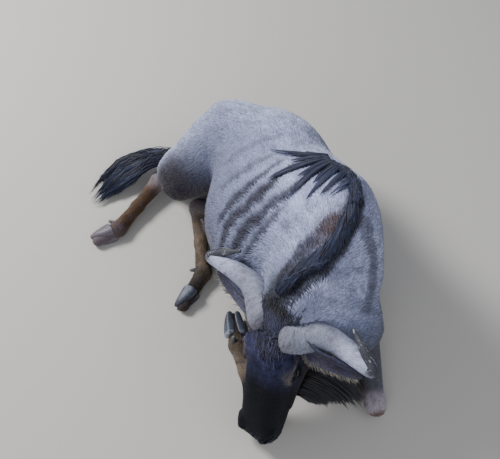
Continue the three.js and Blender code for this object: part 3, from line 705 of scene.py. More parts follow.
@dataclass(frozen=True)
class Tint:
    """A colour as it is read off a screen, 0 to 255 a channel."""

    red: int
    green: int
    blue: int

    @property
    def linear(self) -> Array:
        """The colour as the renderer mixes it."""
        value = vec(self.red, self.green, self.blue) / 255
        return np.where(value < 0.04045, value / 12.92, ((value + 0.055) / 1.055) ** 2.4)


class Palette(Enum):
    """The animal's colours."""

    SILVER = Tint(146, 154, 184)
    # a painted highlight: the pale lilac laid along the top of the body
    TOP_HIGHLIGHT = Tint(206, 212, 248)
    # painted shade low on the sides, and also random darker mottling of the coat and legs
    SHADE = Tint(86, 86, 112)
    STRIPE = Tint(36, 30, 48)
    RUST = Tint(112, 80, 62)
    BELLY = Tint(74, 66, 70)
    BUTTOCK = Tint(52, 44, 54)
    TAN = Tint(124, 108, 90)
    OCHRE = Tint(96, 72, 52)
    GREY_LEG = Tint(96, 96, 108)
    KNOB = Tint(192, 182, 194)
    DARK_LEG = Tint(44, 36, 32)
    PINK_LEG = Tint(112, 100, 108)
    FOREHEAD = Tint(58, 60, 96)
    NIGHT = Tint(13, 15, 26)
    CHEEK = Tint(52, 44, 44)
    BROW = Tint(126, 118, 112)
    HAIR = Tint(20, 22, 34)
    HAIR_BLUE = Tint(44, 52, 84)
    CREAM = Tint(112, 108, 100)
    # a painted highlight on the wet nose
    NOSE_HIGHLIGHT = Tint(78, 82, 104)
    FLOOR = Tint(196, 193, 188)
    HORN = Tint(134, 137, 156)
    HORN_ROOT = Tint(96, 92, 94)
    # a painted highlight before the horn's bend
    HORN_HIGHLIGHT = Tint(200, 205, 236)
    HORN_FLECK = Tint(176, 182, 206)
    HORN_PIT = Tint(62, 62, 74)
    HORN_STAIN = Tint(84, 80, 84)
    HORN_TIP = Tint(40, 40, 46)
    HORN_WORN = Tint(78, 78, 86)
    HORN_CHIP = Tint(190, 194, 206)
    EAR = Tint(78, 80, 116)
    EAR_CUP = Tint(58, 56, 72)
    EAR_HAIR = Tint(76, 78, 114)
    EAR_CUP_HAIR = Tint(74, 70, 82)
    EAR_RIM = Tint(48, 48, 66)
    HOOF = Tint(58, 66, 88)
    HOOF_TOE = Tint(26, 29, 42)
    HOOF_LINE = Tint(120, 124, 132)
    HOOF_CROWN = Tint(186, 194, 208)
    DEWCLAW = Tint(52, 52, 60)
    # a painted highlight towards each dewclaw's tip
    DEWCLAW_HIGHLIGHT = Tint(150, 148, 150)
    EYE = Tint(26, 18, 15)
    IRIS = Tint(40, 24, 14)
    PUPIL = Tint(8, 8, 12)

    @property
    def linear(self) -> Array:
        """The colour as the renderer mixes it."""
        return self.value.linear


def blend(base: Array, tint: Tint | Palette | Array, share: Array | float) -> Array:
    """Mixes a colour into each row by its own share."""
    colour = tint if isinstance(tint, np.ndarray) else tint.linear
    return base + (colour - base) * np.broadcast_to(np.clip(share, 0, 1), len(base))[:, None]


def wash(tint: Tint | Palette, count: int) -> Array:
    """One colour in every row."""
    return np.tile(tint.linear, (count, 1))


def ripple(p: Array, scale: float, seed: int) -> Array:
    """A smooth wandering value from about -1 to 1.

    Args:
        p: the points.
        scale: the size of its larger swells, in metres.
        seed: which run of swells.

    Returns:
        One value a point.
    """
    draws = np.random.default_rng(seed)
    total = np.zeros(len(p))
    for octave in range(4):
        way = unit(draws.normal(size=(3, 3)))
        phase = draws.uniform(0, 2 * math.pi, 3)
        waves = np.sin(p @ way.T * (2 * math.pi / scale * 1.7**octave) + phase)
        total += waves.prod(axis=1) * 1.6 * 0.62**octave
    return total / 1.6


@dataclass(frozen=True)
class Stripe:
    """One brown stripe: how dark and how wide it is, and the places that it runs through."""

    dark: float
    width: float
    places: tuple[tuple[float, ...], ...]


@dataclass
class Markings:
    """The coat's colours, and the way it lies, as functions of a place on the animal."""

    anatomy: Anatomy
    # stripes of the trunk: each place is a turn down the side in radians and a station, from top to foot
    stripes: tuple[Stripe, ...] = (
        Stripe(0.35, 0.09, ((0.45, 3.62), (0.9, 3.55), (1.5, 3.40))),
        Stripe(0.50, 0.09, ((0.45, 4.08), (0.9, 4.12), (1.5, 4.02))),
        Stripe(0.90, 0.11, ((0.46, 4.46), (0.76, 4.58), (1.11, 4.61), (1.62, 4.56))),
        Stripe(
            1.00, 0.13, ((0.28, 4.76), (0.53, 4.92), (0.80, 4.95), (1.10, 4.92), (1.45, 4.86), (1.80, 4.90))
        ),
        Stripe(1.00, 0.13, ((0.26, 5.35), (0.48, 5.34), (0.87, 5.28), (1.17, 5.22), (1.55, 5.22))),
        Stripe(0.85, 0.11, ((0.52, 5.58), (0.74, 5.56), (1.00, 5.55), (1.38, 5.52))),
        Stripe(0.45, 0.06, ((0.36, 6.06), (0.50, 6.02), (0.64, 6.05))),
    )
    # stripes of the neck and the left shoulder: their places are in metres, and their width is a half width
    neck_stripes: tuple[Stripe, ...] = (
        Stripe(
            1.00,
            0.013,
            ((0.121, -0.257, 0.677), (0.073, -0.283, 0.618), (0.029, -0.302, 0.563), (-0.017, -0.352, 0.519)),
        ),
        Stripe(
            0.75,
            0.011,
            ((0.158, -0.243, 0.704), (0.115, -0.279, 0.663), (0.053, -0.346, 0.583), (0.009, -0.376, 0.539)),
        ),
        Stripe(
            0.60,
            0.005,
            ((0.203, -0.264, 0.689), (0.220, -0.295, 0.640), (0.240, -0.312, 0.559), (0.241, -0.356, 0.497)),
        ),
        Stripe(0.50, 0.006, ((0.240, -0.312, 0.559), (0.241, -0.356, 0.497), (0.229, -0.406, 0.461))),
    )
    mane_line: tuple[Place, ...] = (
        (0.186, -0.195, 0.711),
        (0.174, -0.245, 0.706),
        (0.133, -0.317, 0.653),
        (0.090, -0.359, 0.608),
        (0.040, -0.384, 0.556),
        (-0.011, -0.401, 0.506),
    )
    # the skin lies about this far inside the places of the neck's stripes
    flesh_over: float = 0.016
    rust_at: Place = (0.121, -0.265, 0.671)
    rust_reach: Place = (0.05, 0.05, 0.05)
    # a painted shadow, cast by the head and horns on the right side of the neck below the mane
    head_shadow_at: Place = (-0.030, -0.350, 0.490)
    head_shadow_reach: Place = (0.055, 0.060, 0.055)

    def regions(self, p: Array) -> dict[str, Array]:
        """How far each point belongs to the head and to each leg, and where it lies on the trunk.

        Args:
            p: the points.

        Returns:
            The shares of the head and the legs, which leg is nearest, and, on the trunk, the station, the
            offsets to the left and to the back side, and the turn from the back.
        """
        anatomy = self.anatomy
        flesh = anatomy.flesh(p)
        skull = anatomy.skull(p)
        pairs = anatomy.legs.values()
        legs = [np.min([form(p) for form in forms], axis=0) for pair in pairs for forms in pair]
        station, left, dorsal = anatomy.trunk.across(p)
        return {
            "head": smoothstep(-0.030, 0.030, flesh - skull),
            "leg": smoothstep(-0.012, 0.030, np.minimum(flesh, skull) - np.min(legs, axis=0)),
            "which": np.argmin(legs, axis=0),
            "station": station,
            "left": left,
            "dorsal": dorsal,
            "angle": np.arctan2(left, dorsal),
        }

    def stripe_share(self, p: Array, where: dict[str, Array]) -> Array:
        """How dark the stripes are at each point.

        Args:
            p: the points.
            where: their regions.

        Returns:
            One share a point.
        """
        down = np.abs(where["angle"]) + 0.05 * ripple(p, 0.15, 7)
        wander = 0.035 * ripple(p, 0.20, 3) + 0.012 * ripple(p, 0.06, 4)
        total = np.zeros(len(p))
        for number, stripe in enumerate(self.stripes):
            turns, stations = np.array(stripe.places).T
            centre = np.interp(down, turns, stations) + wander
            middle = 2 * (down - turns[0]) / (turns[-1] - turns[0]) - 1
            uneven = 1 + 0.30 * ripple(p, 0.10, 60 + number)
            spread = stripe.width * np.clip(1.1 - 0.62 * middle**2, 0.25, 1) * uneven
            across = np.exp(-(((where["station"] - centre) / spread) ** 4) * 0.9)
            within = smoothstep(turns[0] - 0.10, turns[0] + 0.10, down)
            within = within * (1 - smoothstep(turns[-1] - 0.15, turns[-1] + 0.25, down))
            total = np.maximum(total, stripe.dark * across * within)
        for number, stripe in enumerate(self.neck_stripes):
            away = self.far_from_line(p, stripe.places) + 0.005 * ripple(p, 0.06, 80 + number)
            fade = (np.maximum(away - self.flesh_over, 0) / stripe.width) ** 3
            total = np.maximum(total, stripe.dark * np.exp(-fade * 0.9))
        broken = 0.97 + 0.14 * ripple(p, 0.07, 5) + 0.10 * ripple(p, 0.010, 6)
        return np.clip(total * broken, 0, 1)

    @staticmethod
    def far_from(p: Array, a: Array, b: Array) -> Array:
        """The distance of each point from the stretch between two places."""
        t = np.clip((p - a) @ (b - a) / ((b - a) @ (b - a)), 0, 1)
        return np.linalg.norm(p - a - t[:, None] * (b - a), axis=1)

    @staticmethod
    def near(p: Array, place: Place, reach: Place) -> Array:
        """How near each point is to a place: 1 there, fading over its reach along each axis."""
        return np.exp(-(((p - np.array(place)) / np.array(reach)) ** 2).sum(1))

    def far_from_line(self, p: Array, places: Sequence[Sequence[float]]) -> Array:
        """The distance of each point from a line of places."""
        line = [np.array(place) for place in places]
        return np.min([self.far_from(p, a, b) for a, b in zip(line, line[1:])], axis=0)

    def colour(self, p: Array) -> Array:
        """The coat's colour at each point, with painted highlight, shade and shadow worked in.

        Args:
            p: points on or near the skin.

        Returns:
            One colour a point.
        """
        where = self.regions(p)
        station, angle = where["station"], where["angle"]
        down = np.abs(angle)
        base = wash(Palette.SILVER, len(p))
        # painted highlight: the coat is lightened along the top of the body, where the light falls
        top = 1 - smoothstep(0.25, 1.35, down)
        base = blend(base, Palette.TOP_HIGHLIGHT, 0.75 * top * (0.75 + 0.45 * ripple(p, 0.14, 11)))
        # painted shade: the coat darkens low down the sides, away from the light
        base = blend(base, Palette.SHADE, 0.55 * smoothstep(1.0, 2.0, down))
        base = blend(base, Palette.BELLY, smoothstep(1.75, 2.5, down))
        # random darker mottling of the coat's own colour
        base = blend(base, Palette.SHADE, 0.28 * np.clip(ripple(p, 0.11, 12), 0, 1))
        right = smoothstep(-0.02, 0.05, -where["left"])
        rear = (1 - smoothstep(0.35, 1.5, station)) * smoothstep(0.3, 1.2, down) * (0.35 + 0.65 * right)
        base = blend(base, Palette.BUTTOCK, 0.92 * rear)
        base = blend(base, Palette.STRIPE, 0.94 * self.stripe_share(p, where))
        rusty = self.near(p, self.rust_at, self.rust_reach)
        base = blend(base, Palette.RUST, 0.38 * rusty)
        ridge = np.abs(where["left"]) + 0.05 * (1 - smoothstep(4.7, 5.0, station))
        ridge = ridge + 0.05 * smoothstep(6.3, 6.6, station)
        ridge = np.where(where["dorsal"] > 0, ridge, 1)
        mane = np.minimum(ridge, self.far_from_line(p, self.mane_line) - 0.010)
        base = blend(base, Palette.HAIR, 0.85 * (1 - smoothstep(0.010, 0.022, mane)))
        # painted shadow of the head and horns on the neck, in the mane's hair colour
        head_shadow = self.near(p, self.head_shadow_at, self.head_shadow_reach)
        base = blend(base, Palette.HAIR, 0.8 * head_shadow)
        throat = smoothstep(6.9, 8.1, station) * (1 - smoothstep(0.30, 0.46, p[:, 2]))
        base = blend(base, Palette.NIGHT, 0.75 * throat)
        base = blend(base, self.leg_colour(p, where["which"]), where["leg"])
        return blend(base, self.face_colour(p), where["head"]) * (1 + 0.10 * ripple(p, 0.02, 13))[:, None]

    def leg_colour(self, p: Array, which: Array) -> Array:
        """The colour of the legs: grey above, tan below, dark at the pasterns.

        Args:
            p: the points.
            which: the number of each one's leg, in the order of LEGS.

        Returns:
            One colour a point.
        """
        result = np.empty_like(p)
        for number, (side, fore) in enumerate(LEGS):
            rows = which == number
            q = p[rows]
            upper, joint, fetlock, toe = LIMBS[side].joints(fore)
            cannon = self.far_from(q, joint, fetlock)
            shank = 1 - smoothstep(-0.012, 0.012, cannon - self.far_from(q, upper, joint))
            foot = 1 - smoothstep(-0.02, 0.02, self.far_from(q, fetlock, toe) - cannon)
            knob = np.linalg.norm(q - joint, axis=1)
            bone = fetlock - joint
            down = np.clip((q - joint) @ bone / (bone @ bone), 0, 1)
            tone = wash(Palette.GREY_LEG if fore else Palette.BUTTOCK, len(q))
            tone = blend(tone, Palette.TAN if side is Side.LEFT or fore else Palette.OCHRE, shank)
            tone = blend(tone, Palette.KNOB, (0.9 if fore else 0.35) * (1 - smoothstep(0.030, 0.070, knob)))
            if fore:
                front = smoothstep(0.010, 0.026, (q - joint) @ unit(joint - upper))
                tone = blend(tone, Palette.RUST, 0.85 * front * (knob < 0.08))
            streak = np.clip(0.5 + 0.9 * ripple(q * vec(1, 1, 1.6), 0.09, 22), 0, 1)
            tone = blend(tone, Palette.DARK_LEG, 0.55 * shank * streak * smoothstep(0.15, 0.9, down))
            dark = Palette.PINK_LEG if side is Side.RIGHT and not fore else Palette.DARK_LEG
            tone = blend(tone, dark, 0.85 * foot)
            result[rows] = blend(tone, Palette.SHADE, 0.3 * np.clip(ripple(q, 0.06, 21), 0, 1))
        return result

    def face_colour(self, p: Array) -> Array:
        """The colour of the head: a violet forehead, a black muzzle, brown cheeks and a pale brow.

        Args:
            p: the points.

        Returns:
            One colour a point.
        """
        head = self.anatomy.head
        along, left, out = head.local(p).T
        side = np.abs(left)
        base = wash(Palette.NIGHT, len(p))
        front = smoothstep(-0.135, -0.03, out)
        forehead = (1 - smoothstep(0.17, 0.27, along)) * front
        base = blend(base, Palette.FOREHEAD, forehead * (0.75 + 0.4 * ripple(p, 0.05, 31)))
        cheek = np.exp(-(((along - 0.150) / 0.080) ** 2) - ((out + 0.125) / 0.055) ** 2)
        base = blend(base, Palette.CHEEK, 0.75 * cheek * smoothstep(0.03, 0.06, side))
        # painted highlight: pale flecks on the top of the wet nose's end
        pale = np.clip(ripple(p, 0.03, 33), 0, 1) * np.exp(-(((along - 0.452) / 0.022) ** 2))
        pale = pale * smoothstep(-0.10, -0.05, out)
        base = blend(base, Palette.NOSE_HIGHLIGHT, 0.8 * pale)
        past, above = along - head.eye_along, out - head.eye_out
        brow = np.abs(np.hypot(past / 1.35, above) - 0.029)
        lit = np.exp(-((brow / 0.006) ** 2)) * smoothstep(0.05, 0.07, side) * smoothstep(-0.010, 0.008, above)
        base = blend(base, Palette.BROW, 0.8 * lit)
        ring = np.hypot(past, above)
        base = blend(base, Palette.NIGHT, (1 - smoothstep(0.016, 0.027, ring)) * smoothstep(0.05, 0.07, side))
        muzzle = smoothstep(0.27, 0.36, along) * (1 - smoothstep(0.42, 0.45, along))
        return blend(base, Palette.NIGHT, 0.7 * muzzle)

    def lie(self, p: Array, normal: Array) -> Array:
        """The way the hair points at each place, along the skin.

        Args:
            p: the points.
            normal: the skin's outward direction there.

        Returns:
            Unit directions square to the normals.
        """
        where = self.regions(p)
        trunk = self.anatomy.trunk
        index = np.clip(np.round(where["station"] * trunk.steps).astype(int), 0, len(trunk.at) - 1)
        way = -trunk.ahead[index]
        sink = smoothstep(0.1, 1.4, np.abs(where["angle"]))
        way = unit(way) + vec(0, 0, -0.55) * sink[:, None]
        head = self.anatomy.head
        along, left, _ = head.local(p).T
        face = np.tile(head.along, (len(p), 1)) * (1 - 2 * smoothstep(0.20, 0.13, along))[:, None]
        face += head.left * (np.sign(left) * 0.6 * np.clip(np.abs(left) / 0.06, 0, 1))[:, None]
        way = way + (face - way) * where["head"][:, None]
        for number, (side, fore) in enumerate(LEGS):
            rows = np.flatnonzero((where["which"] == number) & (where["leg"] > 0.02))
            if not len(rows):
                continue
            joints = LIMBS[side].joints(fore)
            bones = list(zip(joints, joints[1:]))
            nearest = np.argmin([self.far_from(p[rows], a, b) for a, b in bones], axis=0)
            down = np.array([unit(b - a) for a, b in bones])[nearest]
            way[rows] += (down - way[rows]) * where["leg"][rows][:, None]
        swirl = np.cross(normal, way) * (0.22 * ripple(p, 0.10, 41))[:, None]
        way = way + swirl
        return unit(way - normal * (way * normal).sum(1)[:, None])


class Brush:
    """A node tree that grows one node at a time."""

    def __init__(self, name: str) -> None:
        """Starts a material with a plain surface shader."""
        self.material = bpy.data.materials.new(name)
        self.material.use_nodes = True
        self.tree = self.material.node_tree
        self.surface = self.tree.nodes["Principled BSDF"]

    def add(self, kind: str, **values: object) -> bpy.types.Node:
        """Adds a node.

        Args:
            kind: the node's type, without its prefix.
            values: its properties, or its inputs by name with underscores for spaces.

        Returns:
            The node.
        """
        node = self.tree.nodes.new(f"ShaderNode{kind}")
        for key, value in values.items():
            if hasattr(node, key):
                setattr(node, key, value)
            else:
                self.feed(node, key.replace("_", " "), value)
        return node

    def feed(self, node: bpy.types.Node, name: str, value: object) -> None:
        """Sets or links one input of a node."""
        socket = node.inputs[int(name)] if name.isdigit() else node.inputs[name]
        if isinstance(value, Socket):
            self.tree.links.new(value, socket)
        else:
            socket.default_value = value

    def math(self, operation: str, first: object, second: object = 0.0) -> Socket:
        """A sum, product or other arithmetic of two values."""
        node = self.add("Math", operation=operation)
        self.feed(node, "0", first)
        self.feed(node, "1", second)
        return node.outputs[0]

    def noise(self, scale: float, detail: float = 4, stretch: Sequence[float] = (1, 1, 1)) -> bpy.types.Node:
        """Noise in the object's own space, drawn out along its axes."""
        place = self.add("TexCoord").outputs["Object"]
        moved = self.add("Mapping")
        self.feed(moved, "Vector", place)
        self.feed(moved, "Scale", stretch)
        return self.add("TexNoise", Vector=moved.outputs[0], Scale=scale, Detail=detail)

    def tinted(self, low: float, high: float, noise: Socket) -> Socket:
        """The shade attribute, made darker and lighter by a noise.

        Args:
            low: the share of the shade where the noise is low.
            high: the share where it is high.
            noise: the noise.

        Returns:
            The colour.
        """
        shade = self.add("Attribute", attribute_name="shade").outputs["Color"]
        ramp = self.add("MapRange", Value=noise, From_Min=0.3, From_Max=0.7, To_Min=low, To_Max=high)
        mixed = self.add("VectorMath", operation="SCALE")
        self.feed(mixed, "0", shade)
        self.feed(mixed, "Scale", ramp.outputs[0])
        return mixed.outputs[0]

    def bump(self, height: Socket, strength: float, distance: float) -> None:
        """Raises the surface by a height."""
        node = self.add("Bump", Height=height, Strength=strength, Distance=distance)
        self.feed(self.surface, "Normal", node.outputs[0])

    def set(self, **values: object) -> None:
        """Sets or links the surface shader's inputs."""
        for key, value in values.items():
            self.feed(self.surface, key.replace("_", " "), value)


@dataclass(frozen=True)
class FurFinish:
    """Hair: the shade attribute broken by fine noise, with a soft sheen."""

    name: str
    rough: float = 0.62
    sheen: float = 0.25
    low: float = 0.72
    high: float = 1.28
    grain: float = 260.0
    raised: float = 0.35
    gloss: float = 0.35

    def make(self) -> Material:
        """Builds the material."""
        brush = Brush(self.name)
        fine = brush.noise(self.grain, 3)
        broad = brush.noise(28, 4)
        fine_part = brush.math("MULTIPLY", fine.outputs[0], 0.6)
        broad_part = brush.math("MULTIPLY", broad.outputs[0], 0.4)
        brush.set(Base_Color=brush.tinted(self.low, self.high, brush.math("ADD", fine_part, broad_part)))
        brush.set(Roughness=self.rough, Sheen_Weight=self.sheen, Sheen_Roughness=0.45)
        brush.set(Specular_IOR_Level=self.gloss)
        brush.bump(fine.outputs[0], self.raised, 0.002)
        return brush.material


@dataclass(frozen=True)
class HornFinish:
    """Worn horn: stippled with pits and ringed at the base, with a highlight before the bend painted into its
    shade attribute.
    """

    name: str = "horn"

    def make(self) -> Material:
        """Builds the material."""
        brush = Brush(self.name)
        stipple = brush.noise(420, 5)
        pits = brush.add("TexVoronoi", Scale=260.0)
        brush.feed(pits, "Vector", brush.add("TexCoord").outputs["Object"])
        dents = brush.math("MINIMUM", brush.math("MULTIPLY", pits.outputs["Distance"], 2.2), 1.0)
        brush.set(Base_Color=brush.tinted(0.55, 1.40, stipple.outputs[0]))
        rough = brush.add("MapRange", Value=stipple.outputs[0], To_Min=0.38, To_Max=0.70)
        brush.set(Roughness=rough.outputs[0], Specular_IOR_Level=0.35)
        brush.bump(brush.math("ADD", dents, stipple.outputs[0]), 0.45, 0.0016)
        return brush.material


@dataclass(frozen=True)
class HoofFinish:
    """Hoof: slate keratin with fine growth lines from its shade attribute."""

    name: str = "hoof"

    def make(self) -> Material:
        """Builds the material."""
        brush = Brush(self.name)
        grain = brush.noise(300, 5)
        brush.set(Base_Color=brush.tinted(0.7, 1.3, grain.outputs[0]), Roughness=0.48, Specular_IOR_Level=0.5)
        brush.bump(grain.outputs[0], 0.4, 0.0012)
        return brush.material


@dataclass(frozen=True)
class EyeFinish:
    """A wet, nearly black eye."""

    name: str = "eye"

    def make(self) -> Material:
        """Builds the material."""
        brush = Brush(self.name)
        flecks = brush.noise(700, 4)
        brush.set(Base_Color=brush.tinted(0.8, 1.2, flecks.outputs[0]), Roughness=0.12)
        brush.set(Specular_IOR_Level=0.4, Coat_Weight=0.5, Coat_Roughness=0.05)
        return brush.material


@dataclass(frozen=True)
class FloorFinish:
    """A pale, plain studio floor."""

    name: str = "floor"

    def make(self) -> Material:
        """Builds the material."""
        brush = Brush(self.name)
        brush.set(Base_Color=(*Palette.FLOOR.linear, 1), Roughness=0.9, Specular_IOR_Level=0.2)
        return brush.material


@dataclass
class Shape:
    """One mesh's points, faces, shade of each point and bake map place of each face corner."""

    points: Array
    faces: Array
    shade: Array
    bake: Array | None = None

    def joined(self, other: Shape) -> Shape:
        """This shape and another as one.

        Args:
            other: the other shape.

        Returns:
            Both, with a place on the bake map only where both have one.
        """
        bake = None
        if self.bake is not None and other.bake is not None:
            bake = np.vstack([self.bake, other.bake])
        return Shape(
            np.vstack([self.points, other.points]),
            np.vstack([self.faces, other.faces + len(self.points)]),
            np.vstack([self.shade, other.shade]),
            bake,
        )

    def put(self, name: str, slot: str, replaced: Sequence[str], finish: Material) -> bpy.types.Object:
        """Args:
            name: the piece's name.
            slot: the record's material slot; not used.
            replaced: the nodes that it stands for.
            finish: its material.

        Returns:
            The object.
        """
        piece = mesh_object(name, self.points, self.faces)
        write_shade(piece.data, self.shade)
        if self.bake is not None:
            layer = piece.data.uv_layers.new(name="OFBake")
            layer.uv.foreach_set("vector", self.bake.astype(np.float32).ravel())
        piece.data.materials.append(finish)
        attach(piece, "root")
        if replaced:
            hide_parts(*replaced)
        LOG.info("%s: %d points, %d faces", name, len(self.points), len(self.faces))
        return piece


def write_shade(mesh: bpy.types.Mesh, colours: Array) -> None:
    """Keeps a colour a point in the mesh's shade attribute."""
    rows = np.c_[colours, np.ones(len(colours))].astype(np.float32)
    mesh.attributes.new("shade", "FLOAT_COLOR", "POINT").data.foreach_set("color", rows.ravel())


def mesh_object(name: str, points: Array, faces: Array) -> bpy.types.Object:
    """Makes a smooth mesh object from arrays.

    Args:
        name: the piece's name.
        points: the points, in metres.
        faces: rows of three or four point numbers.

    Returns:
        The object, linked to the scene.
    """
    mesh = bpy.data.meshes.new(name)
    corners = faces.shape[1]
    mesh.vertices.add(len(points))
    mesh.vertices.foreach_set("co", np.asarray(points, np.float32).ravel())
    mesh.loops.add(faces.size)
    mesh.loops.foreach_set("vertex_index", np.asarray(faces, np.int32).ravel())
    mesh.polygons.add(len(faces))
    mesh.polygons.foreach_set("loop_start", np.arange(0, faces.size, corners, dtype=np.int32))
    mesh.polygons.foreach_set("loop_total", np.full(len(faces), corners, np.int32))
    mesh.update(calc_edges=True)
    mesh.shade_smooth()
    piece = bpy.data.objects.new(name, mesh)
    bpy.context.scene.collection.objects.link(piece)
    return piece


def lofted(rings: Array) -> tuple[Array, Array]:
    """Closes runs of rings into tubes.

    Args:
        rings: one or more runs, as run, ring, point around, coordinate.

    Returns:
        The points and four-sided faces, with a repeated corner at the caps.
    """
    runs, count, around, _ = rings.shape
    middles = rings[:, [0, -1]].mean(axis=2)
    points = np.concatenate([rings.reshape(runs, -1, 3), middles], axis=1)
    ring = np.arange(count - 1)[:, None] * around
    k = np.arange(around)[None]
    after = (k + 1) % around
    sides = np.stack([ring + k, ring + after, ring + around + after, ring + around + k], -1).reshape(-1, 4)
    k, after = k[0], after[0]
    last = (count - 1) * around
    first_cap = np.stack([np.full(around, count * around), after, k, k], -1)[:, :3]
    last_cap = np.stack([np.full(around, count * around + 1), last + k, last + after], -1)
    faces = np.vstack([sides[:, [0, 1, 2]], sides[:, [0, 2, 3]], first_cap, last_cap])
    shift = np.arange(runs)[:, None, None] * points.shape[1]
    return points.reshape(-1, 3), (faces[None] + shift).reshape(-1, 3)

def faced_out(points: Array, faces: Array, middle: Array) -> Array:
    """Turns a closed mesh's faces so that they look outward.

    Args:
        points: the points.
        faces: rows of three point numbers.
        middle: a place inside it.

    Returns:
        The faces.
    """
    a, b, c = (points[faces[:, k]] for k in range(3))
    away = points[faces].mean(axis=1) - middle
    return faces[:, ::-1] if (away * np.cross(b - a, c - a)).sum() < 0 else faces


@dataclass(frozen=True)
class Ridge:
    """A rise on the face, in the head's frame with its sides folded together, and the seam round it."""

    cone: RoundCone
    seam: float


@dataclass
class FaceForm:
    """The skin of the head in full: lids, nostrils, lips and the bones that show."""

    anatomy: Anatomy
    depth: float = 0.004
    lid_half: float = 0.0205
    lid_high: float = 0.0095
    lid_tilt: float = 0.10
    # how far the lids and their rim stand off the eyeball, and how thick the rim is
    lid_over: float = 0.0022
    rim_over: float = 0.0026
    rim_radius: float = 0.0028
    socket_reach: float = 0.045
    # the fold over the lids: its distance from the opening, its radius and its reach from the eye
    crease_off: float = 0.0085
    crease_radius: float = 0.0013
    crease_reach: float = 0.05
    # the cheek's ridge, the jaw and the brow
    bones: tuple[Ridge, ...] = (
        Ridge(RoundCone((0.205, 0.074, -0.082), (0.320, 0.062, -0.098), 0.012, 0.009), 0.022),
        Ridge(RoundCone((0.095, 0.074, -0.128), (0.165, 0.070, -0.130), 0.020, 0.016), 0.030),
        Ridge(RoundCone((0.135, 0.083, -0.022), (0.192, 0.083, -0.030), 0.010, 0.009), 0.018),
    )
    flare: Ridge = Ridge(RoundCone((0.416, 0.056, -0.050), (0.444, 0.043, -0.036), 0.0125, 0.010), 0.012)
    nostril: tuple[RoundCone, RoundCone] = (
        RoundCone((0.420, 0.069, -0.052), (0.438, 0.061, -0.038), 0.0065, 0.0080),
        RoundCone((0.438, 0.061, -0.038), (0.448, 0.047, -0.036), 0.0080, 0.0050),
    )
    lips: tuple[Ridge, Ridge] = (
        Ridge(RoundCone((0.330, 0.053, -0.098), (0.434, 0.050, -0.098), 0.0100, 0.0110), 0.010),
        Ridge(RoundCone((0.330, 0.046, -0.122), (0.430, 0.038, -0.120), 0.0080, 0.0090), 0.010),
    )
    # the line between the lips: its depth below the forehead and slope, its corner, half height and cut
    mouth_out: float = 0.112
    mouth_slope: float = 0.10
    mouth_turn: float = 0.395
    mouth_corner: float = 0.358
    mouth_half: float = 0.0014
    mouth_cut: float = 0.005

    def almond(self, along: Array, out: Array) -> Array:
        """The distance from the outline of an eye's opening, on the side of the head.

        Args:
            along: each place along the face.
            out: each place's height out of the forehead.

        Returns:
            One distance a place, negative inside the opening.
        """
        head = self.anatomy.head
        radius = (self.lid_half**2 + self.lid_high**2) / (2 * self.lid_high)
        a = along - head.eye_along
        o = out - head.eye_out + self.lid_tilt * a
        shift = radius - self.lid_high
        return np.maximum(np.hypot(a, o + shift), np.hypot(a, o - shift)) - radius

    def __call__(self, p: Array) -> Array:
        """The distance of each point from the skin.

        Args:
            p: the points.

        Returns:
            One distance a point, negative inside.
        """
        d = self.anatomy.whole(p) + self.depth
        local = self.anatomy.head.local(p)
        along, left, out = local.T
        rows = np.flatnonzero((along > 0.06) & (np.abs(left) < 0.13) & (np.abs(out + 0.085) < 0.15))
        if len(rows):
            d[rows] = self.face(local[rows], d[rows])
        return d

    def face(self, local: Array, d: Array) -> Array:
        """The same distance with the face's forms worked in.

        Args:
            local: places in the head's frame.
            d: the distance from the plain head there.

        Returns:
            The distance from the finished head.
        """
        along, side, out = local[:, 0], np.abs(local[:, 1]), local[:, 2]
        here = np.stack([along, side, out], 1)
        head = self.anatomy.head
        for bone in self.bones:
            d = soft_join(d, bone.cone(here), bone.seam)
        reach = np.linalg.norm(here - head.eye, axis=1)
        d = soft_join(d, reach - head.eye_radius - self.lid_over, 0.010)
        opening = self.almond(along, out)
        rim = np.hypot(opening - self.lid_over, reach - head.eye_radius - self.rim_over) - self.rim_radius
        rim = np.where(side > head.eye_left, rim, 1)
        d = soft_join(d, rim, 0.004)
        socket = np.maximum(opening, head.eye_left + 0.004 - side)
        d = np.maximum(d, -np.maximum(socket, reach - self.socket_reach))
        crease = np.hypot(np.abs(opening - self.crease_off), np.minimum(d, 0.004) * 0.4) - self.crease_radius
        crease = np.where((side > head.eye_left) & (reach < self.crease_reach), crease, 1)
        d = np.maximum(d, -crease)
        d = soft_join(d, self.flare.cone(here), self.flare.seam)
        slot = soft_join(self.nostril[0](here), self.nostril[1](here), 0.006)
        d = np.maximum(d, -slot)
        for lip in self.lips:
            d = soft_join(d, lip.cone(here), lip.seam)
        line = np.abs(out + self.mouth_out + self.mouth_slope * (self.mouth_turn - along)) - self.mouth_half
        line = np.maximum(line, self.mouth_corner - along)
        return np.maximum(d, -np.maximum(line, -d - self.mouth_cut))


